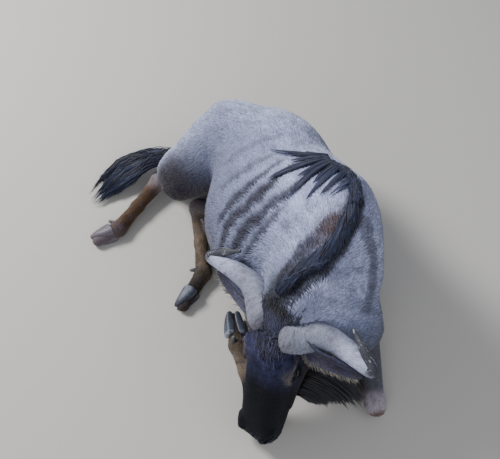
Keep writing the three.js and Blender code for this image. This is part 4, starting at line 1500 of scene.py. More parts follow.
@dataclass
class Skin:
    """One closed skin for the whole animal, finest round the eyes, nostrils and lips."""

    anatomy: Anatomy
    markings: Markings
    cell: float = 0.008
    ground: float = 0.0008
    # how much darker the skin is than the coat over it
    under_coat: float = 0.82
    # what the net is made in, with a margin round the animal
    low: Place = (-0.76, -0.76, -0.04)
    high: Place = (0.42, 0.54, 0.80)
    # the places of the face that are made finer, and how far from each
    eye_reach: float = 0.048
    lid_reach: float = 0.034
    nostril: Place = (0.434, 0.059, -0.044)
    nostril_reach: float = 0.034
    lips_from: float = 0.345
    lips_half: float = 0.020

    def build(self) -> None:
        """Makes the mesh and keeps its points; its triangles, normals and unwrap for the coat are kept when
        it is dressed.
        """
        self.form = FaceForm(self.anatomy)
        points, faces = Net(self.form, vec(*self.low), vec(*self.high), self.cell).build()
        LOG.info("skin net: %d points", len(points))
        mesh = bpy.data.meshes.new("skin")
        mesh.from_pydata(points.tolist(), [], faces.tolist())
        finer = bmesh.new()
        finer.from_mesh(mesh)
        head = self.anatomy.head

        def front(q: Array) -> Array:
            """Which places lie on the head below the poll."""
            return (q[:, 0] > 0.04) & (np.abs(q[:, 2] - head.line) < 0.14) & (q[:, 1] < 0.115)

        def features(q: Array) -> Array:
            """Which places lie by an eye, a nostril or the lips."""
            by_eye = np.linalg.norm(q - head.eye, axis=1) < self.eye_reach
            by_nostril = np.linalg.norm(q - vec(*self.nostril), axis=1) < self.nostril_reach
            lips = (q[:, 0] > self.lips_from) & (np.abs(q[:, 2] + self.form.mouth_out) < self.lips_half)
            return by_eye | by_nostril | lips

        self.refine(finer, front)
        self.refine(finer, features)
        self.refine(finer, lambda q: np.linalg.norm(q - head.eye, axis=1) < self.lid_reach)
        bmesh.ops.triangulate(finer, faces=[f for f in finer.faces if len(f.verts) > 4])
        finer.to_mesh(mesh)
        finer.free()
        count = len(mesh.vertices)
        flat = np.empty(count * 3, np.float32)
        mesh.vertices.foreach_get("co", flat)
        points = flat.reshape(-1, 3).astype(float)
        off_floor(points, self.ground)
        mesh.vertices.foreach_set("co", points.astype(np.float32).ravel())
        mesh.update()
        mesh.shade_smooth()
        self.piece = bpy.data.objects.new("skin", mesh)
        bpy.context.scene.collection.objects.link(self.piece)
        self.points = points

    def refine(self, mesh: bmesh.types.BMesh, chosen: Callable[[Array], Array]) -> None:
        """Halves the cells of a part of the head and draws its points onto the form.

        Args:
            mesh: the mesh, changed in place.
            chosen: which places of the head's frame, with its sides folded together, are made finer.
        """
        head = self.anatomy.head

        def inside(vertices: list[bmesh.types.BMVert]) -> Array:
            """Which points lie in the chosen part."""
            local = head.local(np.array([v.co[:] for v in vertices]))
            local[:, 1] = np.abs(local[:, 1])
            near = local[:, 1] < 0.14
            return chosen(local) & near & (local[:, 0] > 0) & (local[:, 0] < 0.55)

        mesh.verts.ensure_lookup_table()
        mesh.verts.index_update()
        marked = inside(list(mesh.verts))
        edges = [e for e in mesh.edges if marked[e.verts[0].index] and marked[e.verts[1].index]]
        bmesh.ops.subdivide_edges(mesh, edges=edges, cuts=1, use_grid_fill=True)
        vertices = list(mesh.verts)
        marked = np.flatnonzero(inside(vertices))
        where = np.array([vertices[i].co[:] for i in marked])
        for _ in range(4):
            slope = gradient(self.form, where, 0.0006)
            step = slope * (self.form(where) / np.maximum((slope**2).sum(1), 0.3))[:, None]
            far = np.linalg.norm(step, axis=1, keepdims=True)
            where = where - step * np.minimum(1, 0.0035 / np.maximum(far, 1e-9))
        for i, place in zip(marked, where):
            vertices[i].co = place

    def dress(self) -> None:
        """Colours the skin, unwraps it and hides the solids that it stands for."""
        mesh = self.piece.data
        write_shade(mesh, self.markings.colour(self.points) * self.under_coat)
        fur = FurFinish("skin", rough=0.75, sheen=0.06, raised=0.6, grain=330, gloss=0.18)
        mesh.materials.append(fur.make())
        bpy.context.view_layer.objects.active = self.piece
        self.piece.select_set(True)
        mesh.uv_layers.new(name="OFBake")
        bpy.ops.object.mode_set(mode="EDIT")
        bpy.ops.mesh.select_all(action="SELECT")
        bpy.ops.uv.smart_project(angle_limit=math.radians(66), island_margin=0.002)
        bpy.ops.object.mode_set(mode="OBJECT")
        flesh = ["hindquarters", "barrel", "forequarters", "neck", "head"]
        limbs = ("forearm", "fore_cannon", "gaskin", "hind_cannon")
        flesh += [f"{part}_{side.word}" for part in limbs for side in Side]
        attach(self.piece, "root")
        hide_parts(*flesh)
        LOG.info("skin: %d points, %d faces", len(mesh.vertices), len(mesh.polygons))
        self.read()

    def read(self) -> None:
        """Keeps the triangles, their normals and their places on the unwrap."""
        mesh = self.piece.data
        mesh.calc_loop_triangles()
        count = len(mesh.loop_triangles)
        corners = np.empty(count * 3, np.int32)
        loops = np.empty(count * 3, np.int32)
        mesh.loop_triangles.foreach_get("vertices", corners)
        mesh.loop_triangles.foreach_get("loops", loops)
        normals = np.empty(len(mesh.vertices) * 3, np.float32)
        mesh.vertex_normals.foreach_get("vector", normals)
        map_places = np.empty(len(mesh.loops) * 2, np.float32)
        mesh.uv_layers["OFBake"].uv.foreach_get("vector", map_places)
        self.triangles = corners.reshape(-1, 3)
        self.normals = normals.reshape(-1, 3).astype(float)
        self.unwrap = map_places.reshape(-1, 2)[loops].reshape(-1, 3, 2)

    def scatter(
        self, count: int, weight: Callable[[Array, Array], Array], seed: int
    ) -> tuple[Array, Array, Array]:
        """Draws roots evenly over the skin.

        Args:
            count: how many.
            weight: the density of roots from the places and normals of the triangles.
            seed: the run of draws.

        Returns:
            The roots, the normals there and their places on the unwrap.
        """
        draws = np.random.default_rng(seed)
        corner = self.points[self.triangles]
        normal = np.cross(corner[:, 1] - corner[:, 0], corner[:, 2] - corner[:, 0])
        area = np.linalg.norm(normal, axis=1) / 2
        share = area * weight(corner.mean(axis=1), unit(normal))
        far = np.cumsum(share) / share.sum()
        spots = spaced(count, draws)
        chosen = np.minimum(np.searchsorted(far, spots), len(far) - 1)
        a, b = draws.random((2, count))
        fold = a + b > 1
        a[fold], b[fold] = 1 - a[fold], 1 - b[fold]
        parts = np.stack([1 - a - b, a, b], 1)
        roots = (corner[chosen] * parts[:, :, None]).sum(1)
        normals = unit((self.normals[self.triangles[chosen]] * parts[:, :, None]).sum(1))
        return roots, normals, (self.unwrap[chosen] * parts[:, :, None]).sum(1)

    def bake_near(self, roots: Array) -> Array:
        """The unwrap's place of the skin nearest to each root."""
        tree = BVHTree.FromPolygons(self.points.tolist(), self.triangles.tolist())
        result = np.empty((len(roots), 2))
        for i, root in enumerate(roots):
            result[i] = self.unwrap[tree.find_nearest(Vector(root))[2]].mean(axis=0)
        return result


@dataclass(frozen=True)
class TuftSize:
    """One stretch of short coat: how many tufts, how long, how wide and how far they stand off."""

    name: str
    slot: str
    count: int
    length: float
    width: float
    rise: float
    seed: int


@dataclass
class Coat:
    """The short coat: small closed tufts that lie along the skin."""

    skin: Skin
    markings: Markings
    avoid: Callable[[Array], Array]
    sizes: tuple[TuftSize, ...] = (
        TuftSize("coat_rear", "coat", 47000, 0.017, 0.0036, 0.16, 101),
        TuftSize("coat_front", "coat", 47000, 0.017, 0.0036, 0.17, 102),
        TuftSize("coat_face", "face_coat", 30000, 0.0075, 0.0020, 0.15, 103),
        TuftSize("coat_legs", "leg_coat", 26000, 0.0095, 0.0024, 0.14, 104),
    )
    patch: float = 0.003
    # how deep a tuft's root lies in the skin, and how far its middle stands off at least
    sunk: float = 0.0012
    off: float = 0.0006
    # how dark a tuft's two roots, its middle and its tip are
    lit: tuple[float, ...] = (0.72, 0.72, 1.0, 1.18)
    # the station where the rear stretch gives way to the front one
    shoulder: tuple[float, float] = (4.15, 4.35)

    def weight(self, size: TuftSize) -> Callable[[Array, Array], Array]:
        """The density of one stretch's roots over the skin.

        Args:
            size: the stretch.

        Returns:
            A function of places and normals.
        """

        def density(p: Array, normal: Array) -> Array:
            """The density at each place, none on bare parts or where the animal rests on the floor.

            Args:
                p: the places.
                normal: the skin's outward direction there.

            Returns:
                One value a place.
            """
            where = self.markings.regions(p)
            resting = (p[:, 2] < 0.004) & (normal[:, 2] < 0)
            clear = smoothstep(0.002, 0.006, self.avoid(p)) * np.where(resting, 0, 1)
            trunk = (1 - where["head"]) * (1 - where["leg"])
            rear = 1 - smoothstep(*self.shoulder, where["station"])
            share = {
                "coat_rear": trunk * rear,
                "coat_front": trunk * (1 - rear),
                "coat_face": where["head"],
                "coat_legs": where["leg"] * (1 - where["head"]),
            }
            return np.clip(share[size.name], 0, 1) * clear

        return density

    def build(self) -> None:
        """Makes every stretch."""
        for size in self.sizes:
            self.stretch(size)

    def stretch(self, size: TuftSize) -> None:
        """Makes one stretch of coat as one piece.

        Args:
            size: the stretch.
        """
        roots, normals, places = self.skin.scatter(size.count, self.weight(size), size.seed)
        draws = np.random.default_rng(size.seed + 50)
        way = self.markings.lie(roots, normals)
        side = np.cross(normals, way)
        way = unit(way + side * draws.normal(0, 0.16, (len(roots), 1)))
        side = np.cross(normals, way)
        length = size.length * draws.uniform(0.7, 1.25, (len(roots), 1))
        if size.name == "coat_face":
            along = self.markings.anatomy.head.local(roots)[:, 0]
            length *= (0.62 + 0.75 * (1 - smoothstep(0.10, 0.36, along)))[:, None]
        width = size.width * draws.uniform(0.75, 1.2, (len(roots), 1))
        rise = size.rise * draws.uniform(0.5, 1.3, (len(roots), 1))
        # a tuft has two corners in the skin, a raised middle and a tip
        sunk = roots - normals * self.sunk
        middle = roots + way * length * 0.42 + normals * (length * rise * 0.75 + self.off)
        tip = roots + way * length + normals * (length * rise)
        points = np.stack([sunk - side * width / 2, sunk + side * width / 2, middle, tip], 1).reshape(-1, 3)
        off_floor(points, 0.0006)
        faces = np.array([[0, 1, 2], [1, 3, 2], [3, 0, 2], [0, 3, 1]])
        faces = (faces[None] + 4 * np.arange(len(roots))[:, None, None]).reshape(-1, 3)
        tone = self.markings.colour(roots) * draws.uniform(0.72, 1.30, (len(roots), 1))
        shade = np.repeat(tone, 4, axis=0) * np.tile(self.lit, len(roots))[:, None]
        corner = np.array([(-0.5, -0.5), (0.5, -0.5), (0, 0), (0, 0.5)]) * self.patch
        spots = np.clip(places[:, None] + corner[None], 0, 1)
        bake = spots.reshape(-1, 2)[faces.ravel()]
        face = size.slot == "face_coat"
        sheen, gloss = (0.05, 0.26) if face else (0.2, 0.3)
        material = FurFinish(size.name, sheen=sheen, low=0.85, high=1.15, gloss=gloss).make()
        Shape(points, faces, shade, bake).put(size.name, size.slot, [], material)


def bent(controls: Array, steps: int) -> Array:
    """Curves through rows of control points.

    Args:
        controls: one row of points a curve.
        steps: how many stretches each curve is cut into.

    Returns:
        The curves' points, one row a curve.
    """
    first = 2 * controls[:, :1] - controls[:, 1:2]
    last = 2 * controls[:, -1:] - controls[:, -2:-1]
    full = np.concatenate([first, controls, last], axis=1)
    result = []
    for spot in np.linspace(0, controls.shape[1] - 1, steps + 1):
        i = min(int(spot), controls.shape[1] - 2)
        result.append(curve(*(full[:, i + k] for k in range(4)), spot - i))
    return np.stack(result, axis=1)


def bunched(spot: Array, bunches: int, stray: Array) -> Array:
    """The number of the bunch that each lock belongs to.

    Args:
        spot: how far along its row each lock grows, from 0 to 1.
        bunches: how many bunches the row has.
        stray: how far each lock strays, in bunches.

    Returns:
        One number a lock.
    """
    return np.minimum((spot * bunches + stray).clip(0).astype(int), bunches - 1)


def gathered(paths: Array, bunch: Array, pull: float, early: float = 1.4) -> Array:
    """Draws the paths of each bunch towards its longest ones, each at its own length.

    Args:
        paths: one row a path.
        bunch: the bunch that each path belongs to.
        pull: how close the tips come, from 0 to 1.
        early: how late the pull sets in; 1 is evenly from the root.

    Returns:
        The paths, with their roots unmoved.
    """
    count, rings = bunch.max() + 1, paths.shape[1]
    length = np.linalg.norm(np.diff(paths, axis=1), axis=2).sum(1)
    longest = np.full(count, 1e-6)
    np.maximum.at(longest, bunch, length)
    share = length / longest[bunch]
    total = np.zeros((count, *paths.shape[1:]))
    np.add.at(total, bunch, paths * (share**6)[:, None, None])
    middle = total / np.maximum(np.bincount(bunch, share**6, minlength=count), 1e-9)[:, None, None]
    place = share[:, None] * np.arange(rings)
    low = np.minimum(place.astype(int), rings - 2)
    part = (place - low)[..., None]
    target = middle[bunch[:, None], low] * (1 - part) + middle[bunch[:, None], low + 1] * part
    return paths + (target - paths) * (pull * (place / (rings - 1)) ** early)[..., None]


@dataclass
class Growth:
    """Ways to grow long hair over a form."""

    form: Distance
    lowest: float = 0.003

    def follow(
        self, roots: Array, way: Array, length: Array, lift: Array, sag: float, steps: int = 7
    ) -> Array:
        """Paths that lie over the form at a given height and sag as they go.

        Args:
            roots: where the hairs start.
            way: their first directions.
            length: the length of each.
            lift: the height of each over the form.
            sag: how strongly they turn down.
            steps: the stretches of a path.

        Returns:
            One row of points a hair.
        """
        heading = unit(way)
        p = roots.copy()
        path = [roots]
        for i in range(1, steps + 1):
            heading = unit(heading + vec(0, 0, -sag / steps))
            p = p + heading * (length / steps)[:, None]
            height = lift * (1 - 0.45 * i / steps)
            p = p + unit(gradient(self.form, p)) * ((height - self.form(p)) * 0.85)[:, None]
            off_floor(p, self.lowest)
            heading = unit(p - path[-1])
            path.append(p.copy())
        return np.stack(path, axis=1)

    def hang(
        self, roots: Array, way: Array, length: Array, clear: Array, turn: float, steps: int = 8
    ) -> Array:
        """Paths that set off on their way and then hang, kept clear of the form.

        Args:
            roots: where the hairs start.
            way: their first directions.
            length: the length of each.
            clear: the least height of each over the form.
            turn: how soon they turn down.
            steps: the stretches of a path.

        Returns:
            One row of points a hair.
        """
        heading = unit(way)
        p = roots.copy()
        path = [roots]
        for i in range(1, steps + 1):
            p = p + heading * (length / steps)[:, None]
            short = np.maximum(clear * min(1, i / 3) - self.form(p), 0)
            p = p + unit(gradient(self.form, p)) * short[:, None]
            off_floor(p, self.lowest)
            path.append(p.copy())
            heading = unit(heading + vec(0, 0, -turn * 5 / steps))
        return np.stack(path, axis=1)


@dataclass
class Locks:
    """Tapered locks along paths, as one closed mesh."""

    skin: Skin
    patch: float = 0.003

    def build(
        self, paths: Array, wide: Array, thick: Array, facing: Array, tone: Array, tip: float = 1.0
    ) -> Shape:
        """Makes the locks.

        Args:
            paths: one row of points a lock.
            wide: the half width of each.
            thick: the half thickness of each.
            facing: the way out of the flat side of each.
            tone: the colour of each.
            tip: how much lighter the tips are than the roots.

        Returns:
            The shape of them all.
        """
        rings = paths.shape[1]
        u = np.linspace(0, 1, rings)
        along = unit(np.gradient(paths, axis=1))
        across = unit(np.cross(along, facing[:, None]))
        up = np.cross(across, along)
        # widest a third of the way along, and thinner all the way
        w = wide[:, None] * (0.62 + 1.2 * u - 1.78 * u**2)[None] + 0.0002
        t = thick[:, None] * (1 - 0.9 * u)[None] + 0.0001
        corners = [across * w[..., None], up * t[..., None], -across * w[..., None], -up * t[..., None]]
        points, faces = lofted(np.stack([paths + c for c in corners], axis=2))
        off_floor(points)
        lit = np.r_[np.repeat(0.75 + (tip - 0.75) * u, 4), 0.75, tip]
        shade = (tone[:, None] * lit[None, :, None]).reshape(-1, 3)
        places = self.skin.bake_near(paths[:, 0])
        spread = np.r_[np.repeat(u, 4), 0, 1] - 0.5
        side = np.r_[np.tile([-0.5, -0.17, 0.17, 0.5], rings), 0, 0]
        spots = places[:, None] + np.stack([side, spread], 1)[None] * self.patch
        bake = np.clip(spots.reshape(-1, 2), 0, 1)[faces.ravel()]
        return Shape(points, faces, shade, bake)


@dataclass
class Mane:
    """The ridge of hair from the poll over the withers, which flops to the right at the back."""

    anatomy: Anatomy
    locks: Locks
    # the trunk's frames that the crest of the withers follows
    first_frame: int = 36
    last_frame: int = 52
    neck_line: tuple[Place, ...] = (
        (0.008, -0.368, 0.448),
        (0.052, -0.350, 0.478),
        (0.112, -0.325, 0.535),
        (0.162, -0.274, 0.600),
        (0.190, -0.226, 0.640),
    )
    withers_count: int = 2900
    # where the crest's hair starts at the back, as a share of its length
    rear: float = 0.15
    # the strands that fall over the flank: place along the crest, length and turn to the right
    flops: tuple[tuple[float, float, float], ...] = (
        (0.17, 0.235, 0.38),
        (0.22, 0.150, 0.52),
        (0.28, 0.235, 0.60),
        (0.35, 0.130, 0.74),
        (0.40, 0.210, 0.80),
        (0.48, 0.120, 0.90),
        (0.53, 0.165, 0.93),
        (0.62, 0.125, 1.00),
        (0.72, 0.095, 1.05),
    )
    neck_count: int = 1900

    def crest(self, at: Array, out: Array) -> Array:
        """Where lines that leave the body at the given places come out of it."""
        return slid(at, out, self.anatomy.flesh, 0.08, 8)

    def build(self) -> None:
        """Makes both stretches."""
        trunk = self.anatomy.trunk
        rows = np.arange(self.first_frame, self.last_frame + 1)
        at = trunk.at[rows] + trunk.dorsal[rows] * trunk.top[rows][:, None]
        out, forward, aside = trunk.dorsal[rows], trunk.ahead[rows], trunk.left[rows]
        withers = (self.crest(at, out), out, forward, aside)
        line = Line([np.array(p) for p in self.neck_line])
        spots = np.linspace(0, 1, 16)
        at = np.array([line.at(u) for u in spots])
        along = -np.array([line.tangent(u) for u in spots])
        left = unit(np.cross(UP, along))
        out = unit(np.cross(along, left))
        neck = (self.crest(at + out * 0.05, out), out, along, left)
        finish = FurFinish("mane", rough=0.42, sheen=0.1, low=0.8, high=1.25, grain=500).make()
        settings = (
            ("mane_withers", withers, self.withers_count, 0.105, 18, self.flops, 61),
            ("mane_neck", neck, self.neck_count, 0.125, 30, (), 62),
        )
        for name, crest, count, length, bunches, flops, seed in settings:
            self.stretch(name, crest, count, length, bunches, flops, finish, seed)

    def stretch(
        self,
        name: str,
        crest: tuple[Array, Array, Array, Array],
        count: int,
        length: float,
        bunches: int,
        flops: Sequence[tuple[float, float, float]],
        finish: Material,
        seed: int,
    ) -> None:
        """Makes one stretch of the mane.

        Args:
            name: the piece's and the node's name.
            crest: the crest's places and, at each, the ways out, forward and left.
            count: how many locks.
            length: the length of the locks that lie along the crest.
            bunches: how many bunches these gather into.
            flops: the strands that fall over the flank: their place, length and turn to the right.
            finish: the material.
            seed: the run of draws.
        """
        draws = np.random.default_rng(seed)
        spot = spaced(count, draws)
        spot = self.rear + (1 - self.rear) * spot if flops else spot
        place = spot * (len(crest[0]) - 1)

        def read(table: Array) -> Array:
            """The crest's table at each lock."""
            i = np.minimum(place.astype(int), len(table) - 2)
            return table[i] + (table[i + 1] - table[i]) * (place - i)[:, None]

        at, out, along, left = (read(t) for t in crest)
        roots = at + left * draws.normal(0, 0.0060, (count, 1)) - out * 0.004
        turn = 0.2 + draws.normal(0, 0.09, count)
        reach = length * draws.uniform(0.5, 1.1, count)
        bunch = bunched(spot, bunches, draws.normal(0, 0.18, count))
        for number, (middle, far, over) in enumerate(flops):
            rows = (np.abs(spot - middle) < 0.030) & (draws.random(count) < 0.55)
            turn[rows] = over + draws.normal(0, 0.03, rows.sum())
            reach[rows] = far * draws.uniform(0.35, 1.0, rows.sum())
            bunch[rows] = bunches + number
        way = along * (turn - 1)[:, None] - left * turn[:, None] + out * draws.uniform(0.1, 0.4, (count, 1))
        lift = draws.uniform(0.003, 0.014, count)
        paths = Growth(self.anatomy.flesh).follow(roots, way, reach, lift, 0.15, 9)
        paths = gathered(paths, bunch, 0.88, 0.8)
        tone = blend(wash(Palette.HAIR, count), Palette.HAIR_BLUE, draws.random(count))
        tone *= draws.uniform(0.7, 1.3, (count, 1))
        wide = draws.uniform(0.0010, 0.0020, count)
        shape = self.locks.build(paths, wide, wide * 0.5, out, tone, 1.5)
        shape.put(f"{name}_hair", "long_hair", [name], finish)


@dataclass
class Beard:
    """The fringe of the throat and jaw, hanging to the animal's left of the head."""

    anatomy: Anatomy
    locks: Locks
    count: int = 2600
    bunches: int = 44
    seed: int = 71

    def build(self) -> None:
        """Makes the beard."""
        draws = np.random.default_rng(self.seed)
        head, count = self.anatomy.head, self.count
        spot = spaced(count, draws)
        swing = 1.0 + draws.normal(0, 0.22, count)
        aside = unit(head.left * swing[:, None] - head.out)
        p = head.place(0, 0, head.line) + head.along * (0.186 + 0.112 * spot)[:, None]
        p = slid(p, aside, self.anatomy.skull, 0.05, 10) - aside * 0.004
        way = aside * 0.8 + head.left * (0.5 - 0.5 * spot)[:, None] + draws.normal(0, 0.10, (count, 3))
        length = (0.275 - 0.155 * spot) * draws.uniform(0.5, 1.15, count)
        outer = Blend(0.020, (self.anatomy.flesh, self.anatomy.skull))
        paths = Growth(outer).hang(p, way, length, draws.uniform(0.004, 0.020, count), 0.45)
        bunch = bunched(spot, self.bunches, draws.normal(0, 0.3, count))
        paths = gathered(paths, bunch, 0.55)
        tone = Palette.HAIR.linear * draws.uniform(0.6, 1.5, (count, 1))
        tone = np.where(draws.random((count, 1)) < 0.18, Palette.CHEEK.linear * 0.6, tone)
        wide = draws.uniform(0.0016, 0.0028, count)
        facing = np.tile(head.left, (count, 1))
        shape = self.locks.build(paths, wide, wide * 0.4, facing, tone, 1.3)
        finish = FurFinish("beard", rough=0.45, sheen=0.1, low=0.8, high=1.2, grain=500).make()
        shape.put("beard_hair", "long_hair", ["beard"], finish)


@dataclass
class Tail:
    """A short dock and a broad switch of black hair laid out on the floor."""

    locks: Locks
    dock: tuple[Place, ...] = (
        (-0.330, 0.290, 0.222),
        (-0.372, 0.335, 0.186),
        (-0.405, 0.358, 0.150),
        (-0.442, 0.374, 0.110),
    )
    # the end of the dock, hidden in the switch
    hidden: tuple[Place, ...] = ((-0.500, 0.380, 0.068), (-0.552, 0.368, 0.044))
    count: int = 2900
    bunches: int = 26
    seed: int = 81

    def build(self) -> None:
        """Makes the dock and its hair."""
        draws = np.random.default_rng(self.seed)
        count = self.count
        line = Line([np.array(p) for p in self.dock + self.hidden])
        rings = []
        for u in np.linspace(0, 1, 20):
            at, ahead = line.at(u), line.tangent(u)
            side = unit(np.cross(ahead, UP))
            up = np.cross(side, ahead)
            wide, high = 0.019 - 0.010 * u, 0.016 - 0.009 * u
            rings.append([at + side * wide * math.cos(a) + up * high * math.sin(a) for a in circle(16)])
        points, faces = lofted(np.array(rings)[None])
        place = self.locks.skin.bake_near(np.array([self.dock[0]]))[0]
        bake = np.tile(place, (faces.size, 1))
        core = Shape(points, faces, wash(Palette.HAIR, len(points)), bake)
        side = draws.uniform(-0.5, 0.5, count)
        early = draws.uniform(0.0, 1.0, count) ** 0.8
        root = np.array([line.at(0.08 + 0.55 * e) for e in early])
        root += draws.normal(0, 0.006, (count, 3))
        bend = np.stack([-0.510 - 0.010 * side, 0.378 + 0.088 * side, 0.054 + 0.024 * draws.random(count)], 1)
        low = np.stack([-0.590 - 0.062 * side, 0.342 + 0.088 * side, 0.022 + 0.034 * draws.random(count)], 1)
        own = 0.14 * draws.random(self.bunches) ** 1.6
        bunch = np.clip(((side + 0.5) * self.bunches).astype(int), 0, self.bunches - 1)
        shorter = 0.030 * (0.5 - side) + own[bunch] + 0.05 * draws.random(count) ** 2
        tip = np.stack(
            [
                -0.716 - 0.020 * side + (0.62 - 0.35 * side) * shorter,
                0.204 + 0.024 * side + (0.75 + 0.45 * side) * shorter,
                0.004 + 0.024 * draws.random(count),
            ],
            1,
        )
        for control, stray in ((bend, 0.005), (low, 0.008), (tip, 0.014)):
            control += draws.normal(0, stray, (count, 3)) * vec(1, 1, 0.35)
        early_bend = root + (bend - root) * 0.5 + draws.normal(0, 0.006, (count, 3))
        paths = bent(np.stack([root, early_bend, bend, low, tip], axis=1), 8)
        paths = gathered(paths, bunch, 0.80)
        off_floor(paths, 0.003)
        bluer = (Palette.HAIR_BLUE.linear - Palette.HAIR.linear) * draws.random((count, 1)) ** 2
        tone = Palette.HAIR.linear * 0.7 + bluer
        wide = draws.uniform(0.0017, 0.0030, count)
        hair = self.locks.build(paths, wide, wide * 0.4, np.tile(UP, (count, 1)), tone, 1.4)
        finish = FurFinish("tail", rough=0.42, sheen=0.1, low=0.8, high=1.25, grain=500).make()
        core.joined(hair).put("tail_brush", "long_hair", ["tail"], finish)


@dataclass
class Forelock:
    """Black hair between the horns and behind them."""

    anatomy: Anatomy
    skin: Skin
    locks: Locks
    markings: Markings
    count: int = 1300
    seed: int = 91

    def build(self) -> None:
        """Makes the hair."""
        draws = np.random.default_rng(self.seed)
        head = self.anatomy.head

        def density(p: Array, normal: Array) -> Array:
            """Thickest between the horns' bases."""
            along, left, out = head.local(p).T
            middle = np.exp(-((along - 0.035) / 0.045) ** 2 - (left / 0.040) ** 2)
            return middle * smoothstep(-0.12, -0.06, out) + 1e-9

        roots, normals, _ = self.skin.scatter(self.count, density, self.seed + 1)
        along = head.local(roots)[:, 0]
        way = -head.along + normals * 0.5 + draws.normal(0, 0.25, (self.count, 3))
        way = way + head.along * (2.0 * smoothstep(0.05, 0.08, along))[:, None]
        length = draws.uniform(0.022, 0.048, self.count)
        form = Blend(0.020, (self.anatomy.flesh, self.anatomy.skull))
        lift = draws.uniform(0.002, 0.008, self.count)
        paths = Growth(form).follow(roots - normals * 0.002, way, length, lift, 0.1, 5)
        tone = wash(Palette.HAIR, self.count)
        tone = blend(tone, Palette.FOREHEAD, smoothstep(-0.01, 0.03, along) * draws.random(self.count))
        tone = tone * draws.uniform(0.6, 1.5, (self.count, 1))
        wide = draws.uniform(0.0010, 0.0018, self.count)
        shape = self.locks.build(paths, wide, wide * 0.4, normals, tone, 1.3)
        finish = FurFinish("forelock", rough=0.5, low=0.8, high=1.2, grain=500).make()
        shape.put("forelock", "long_hair", [], finish)


@dataclass
class Horn:
    """One horn: a rough boss, a swept shaft and an upturned worn tip."""

    anatomy: Anatomy
    side: Side
    # along, left and out in the head's frame, and the radius there
    rows: tuple[tuple[float, float, float, float], ...] = (
        (0.060, 0.024, -0.012, 0.042),
        (0.054, 0.051, -0.024, 0.048),
        (0.039, 0.083, -0.044, 0.048),
        (0.015, 0.124, -0.059, 0.043),
        (0.006, 0.185, -0.066, 0.034),
        (0.002, 0.262, -0.056, 0.027),
        (0.000, 0.312, -0.045, 0.018),
        (-0.015, 0.297, -0.049, 0.015),
        (-0.039, 0.264, -0.053, 0.013),
        (-0.067, 0.215, -0.061, 0.004),
    )
    # how far each horn is turned about the forehead: its shift along the face a metre out, one up, one down
    skew: float = -0.063
    rings: int = 150
    around: int = 44
    flatter: float = 0.94
    # the share of the horn over which its base rounds off
    rounded: float = 0.09
    # the place where the growth rings of the base fade out, and how close they lie
    ringed: tuple[float, float] = (0.22, 0.42)
    ring_turns: float = 170

    def build(self) -> None:
        """Makes the horn."""
        head, sign = self.anatomy.head, self.side.value
        places = [(along - sign * self.skew * left, sign * left, out) for along, left, out, _ in self.rows]
        line = Line([head.place(*place) for place in places])
        radii = np.array([row[3] for row in self.rows])
        u = np.linspace(0, 1, self.rings)
        at = np.array([line.at(t) for t in u])
        ahead = unit(np.gradient(at, axis=0))
        across = unit(np.cross(ahead, head.out))
        up = np.cross(across, ahead)
        radius = np.array([through(radii, t * (len(radii) - 1)) for t in u])
        radius *= np.sqrt(1 - 0.92 * (1 - np.clip(u / self.rounded, 0, 1)) ** 2)
        turn = circle(self.around)
        sideways = across[:, None] * np.cos(turn)[None, :, None]
        way = sideways + up[:, None] * (self.flatter * np.sin(turn))[None, :, None]
        rings = at[:, None] + way * radius[:, None, None]
        flat = rings.reshape(-1, 3)
        # rough all over, ringed at the base and chipped at the tip, as shares of the radius
        base = (1 - smoothstep(*self.ringed, u)).repeat(self.around)
        rough = 0.022 * ripple(flat, 0.050, 201) + 0.016 * ripple(flat, 0.016, 202) * (0.3 + base)
        growth = u.repeat(self.around) * self.ring_turns + 2 * ripple(flat, 0.05, 203)
        ridges = 0.012 * base * np.sin(growth)
        end = smoothstep(0.93, 1.0, u).repeat(self.around) * 0.22 * ripple(flat, 0.008, 204)
        flat = flat + way.reshape(-1, 3) * ((rough + ridges + end) * radius.repeat(self.around))[:, None]
        points, faces = lofted(flat.reshape(1, self.rings, self.around, 3))
        shade = self.colour(np.r_[u.repeat(self.around), 0, 1], points)
        shape = Shape(points, faces, shade)
        shape.put(f"horn_sheath_{self.side.word}", "horn", [f"horn_{self.side.word}"], HornFinish().make())

    def colour(self, u: Array, p: Array) -> Array:
        """Grey with fine stipple, a painted highlight before the bend, dark at the tip with chipped white
        edges.

        Args:
            u: how far along the horn each point lies.
            p: the points.

        Returns:
            One colour a point.
        """
        base = wash(Palette.HORN, len(p))
        base = blend(base, Palette.HORN_ROOT, 0.6 * (1 - smoothstep(0.0, 0.2, u)))
        # painted highlight: a pale lilac band before the bend
        base = blend(base, Palette.HORN_HIGHLIGHT, 0.8 * np.exp(-(((u - 0.56) / 0.08) ** 2)))
        base = blend(base, Palette.HORN_FLECK, 0.30 * np.clip(ripple(p, 0.0055, 210), 0, 1))
        base = blend(base, Palette.HORN_PIT, 0.45 * np.clip(ripple(p, 0.0065, 211), 0, 1))
        base = blend(base, Palette.HORN_STAIN, 0.5 * np.clip(ripple(p, 0.045, 212), 0, 1))
        dark = smoothstep(0.635, 0.68, u + 0.015 * ripple(p, 0.03, 213))
        base = blend(base, Palette.HORN_TIP, 0.90 * dark)
        base = blend(base, Palette.HORN_WORN, 0.5 * smoothstep(0.80, 0.92, u))
        chips = smoothstep(0.68, 0.82, ripple(p, 0.016, 214)) * smoothstep(0.63, 0.72, u)
        return blend(base, Palette.HORN_CHIP, 0.7 * chips)


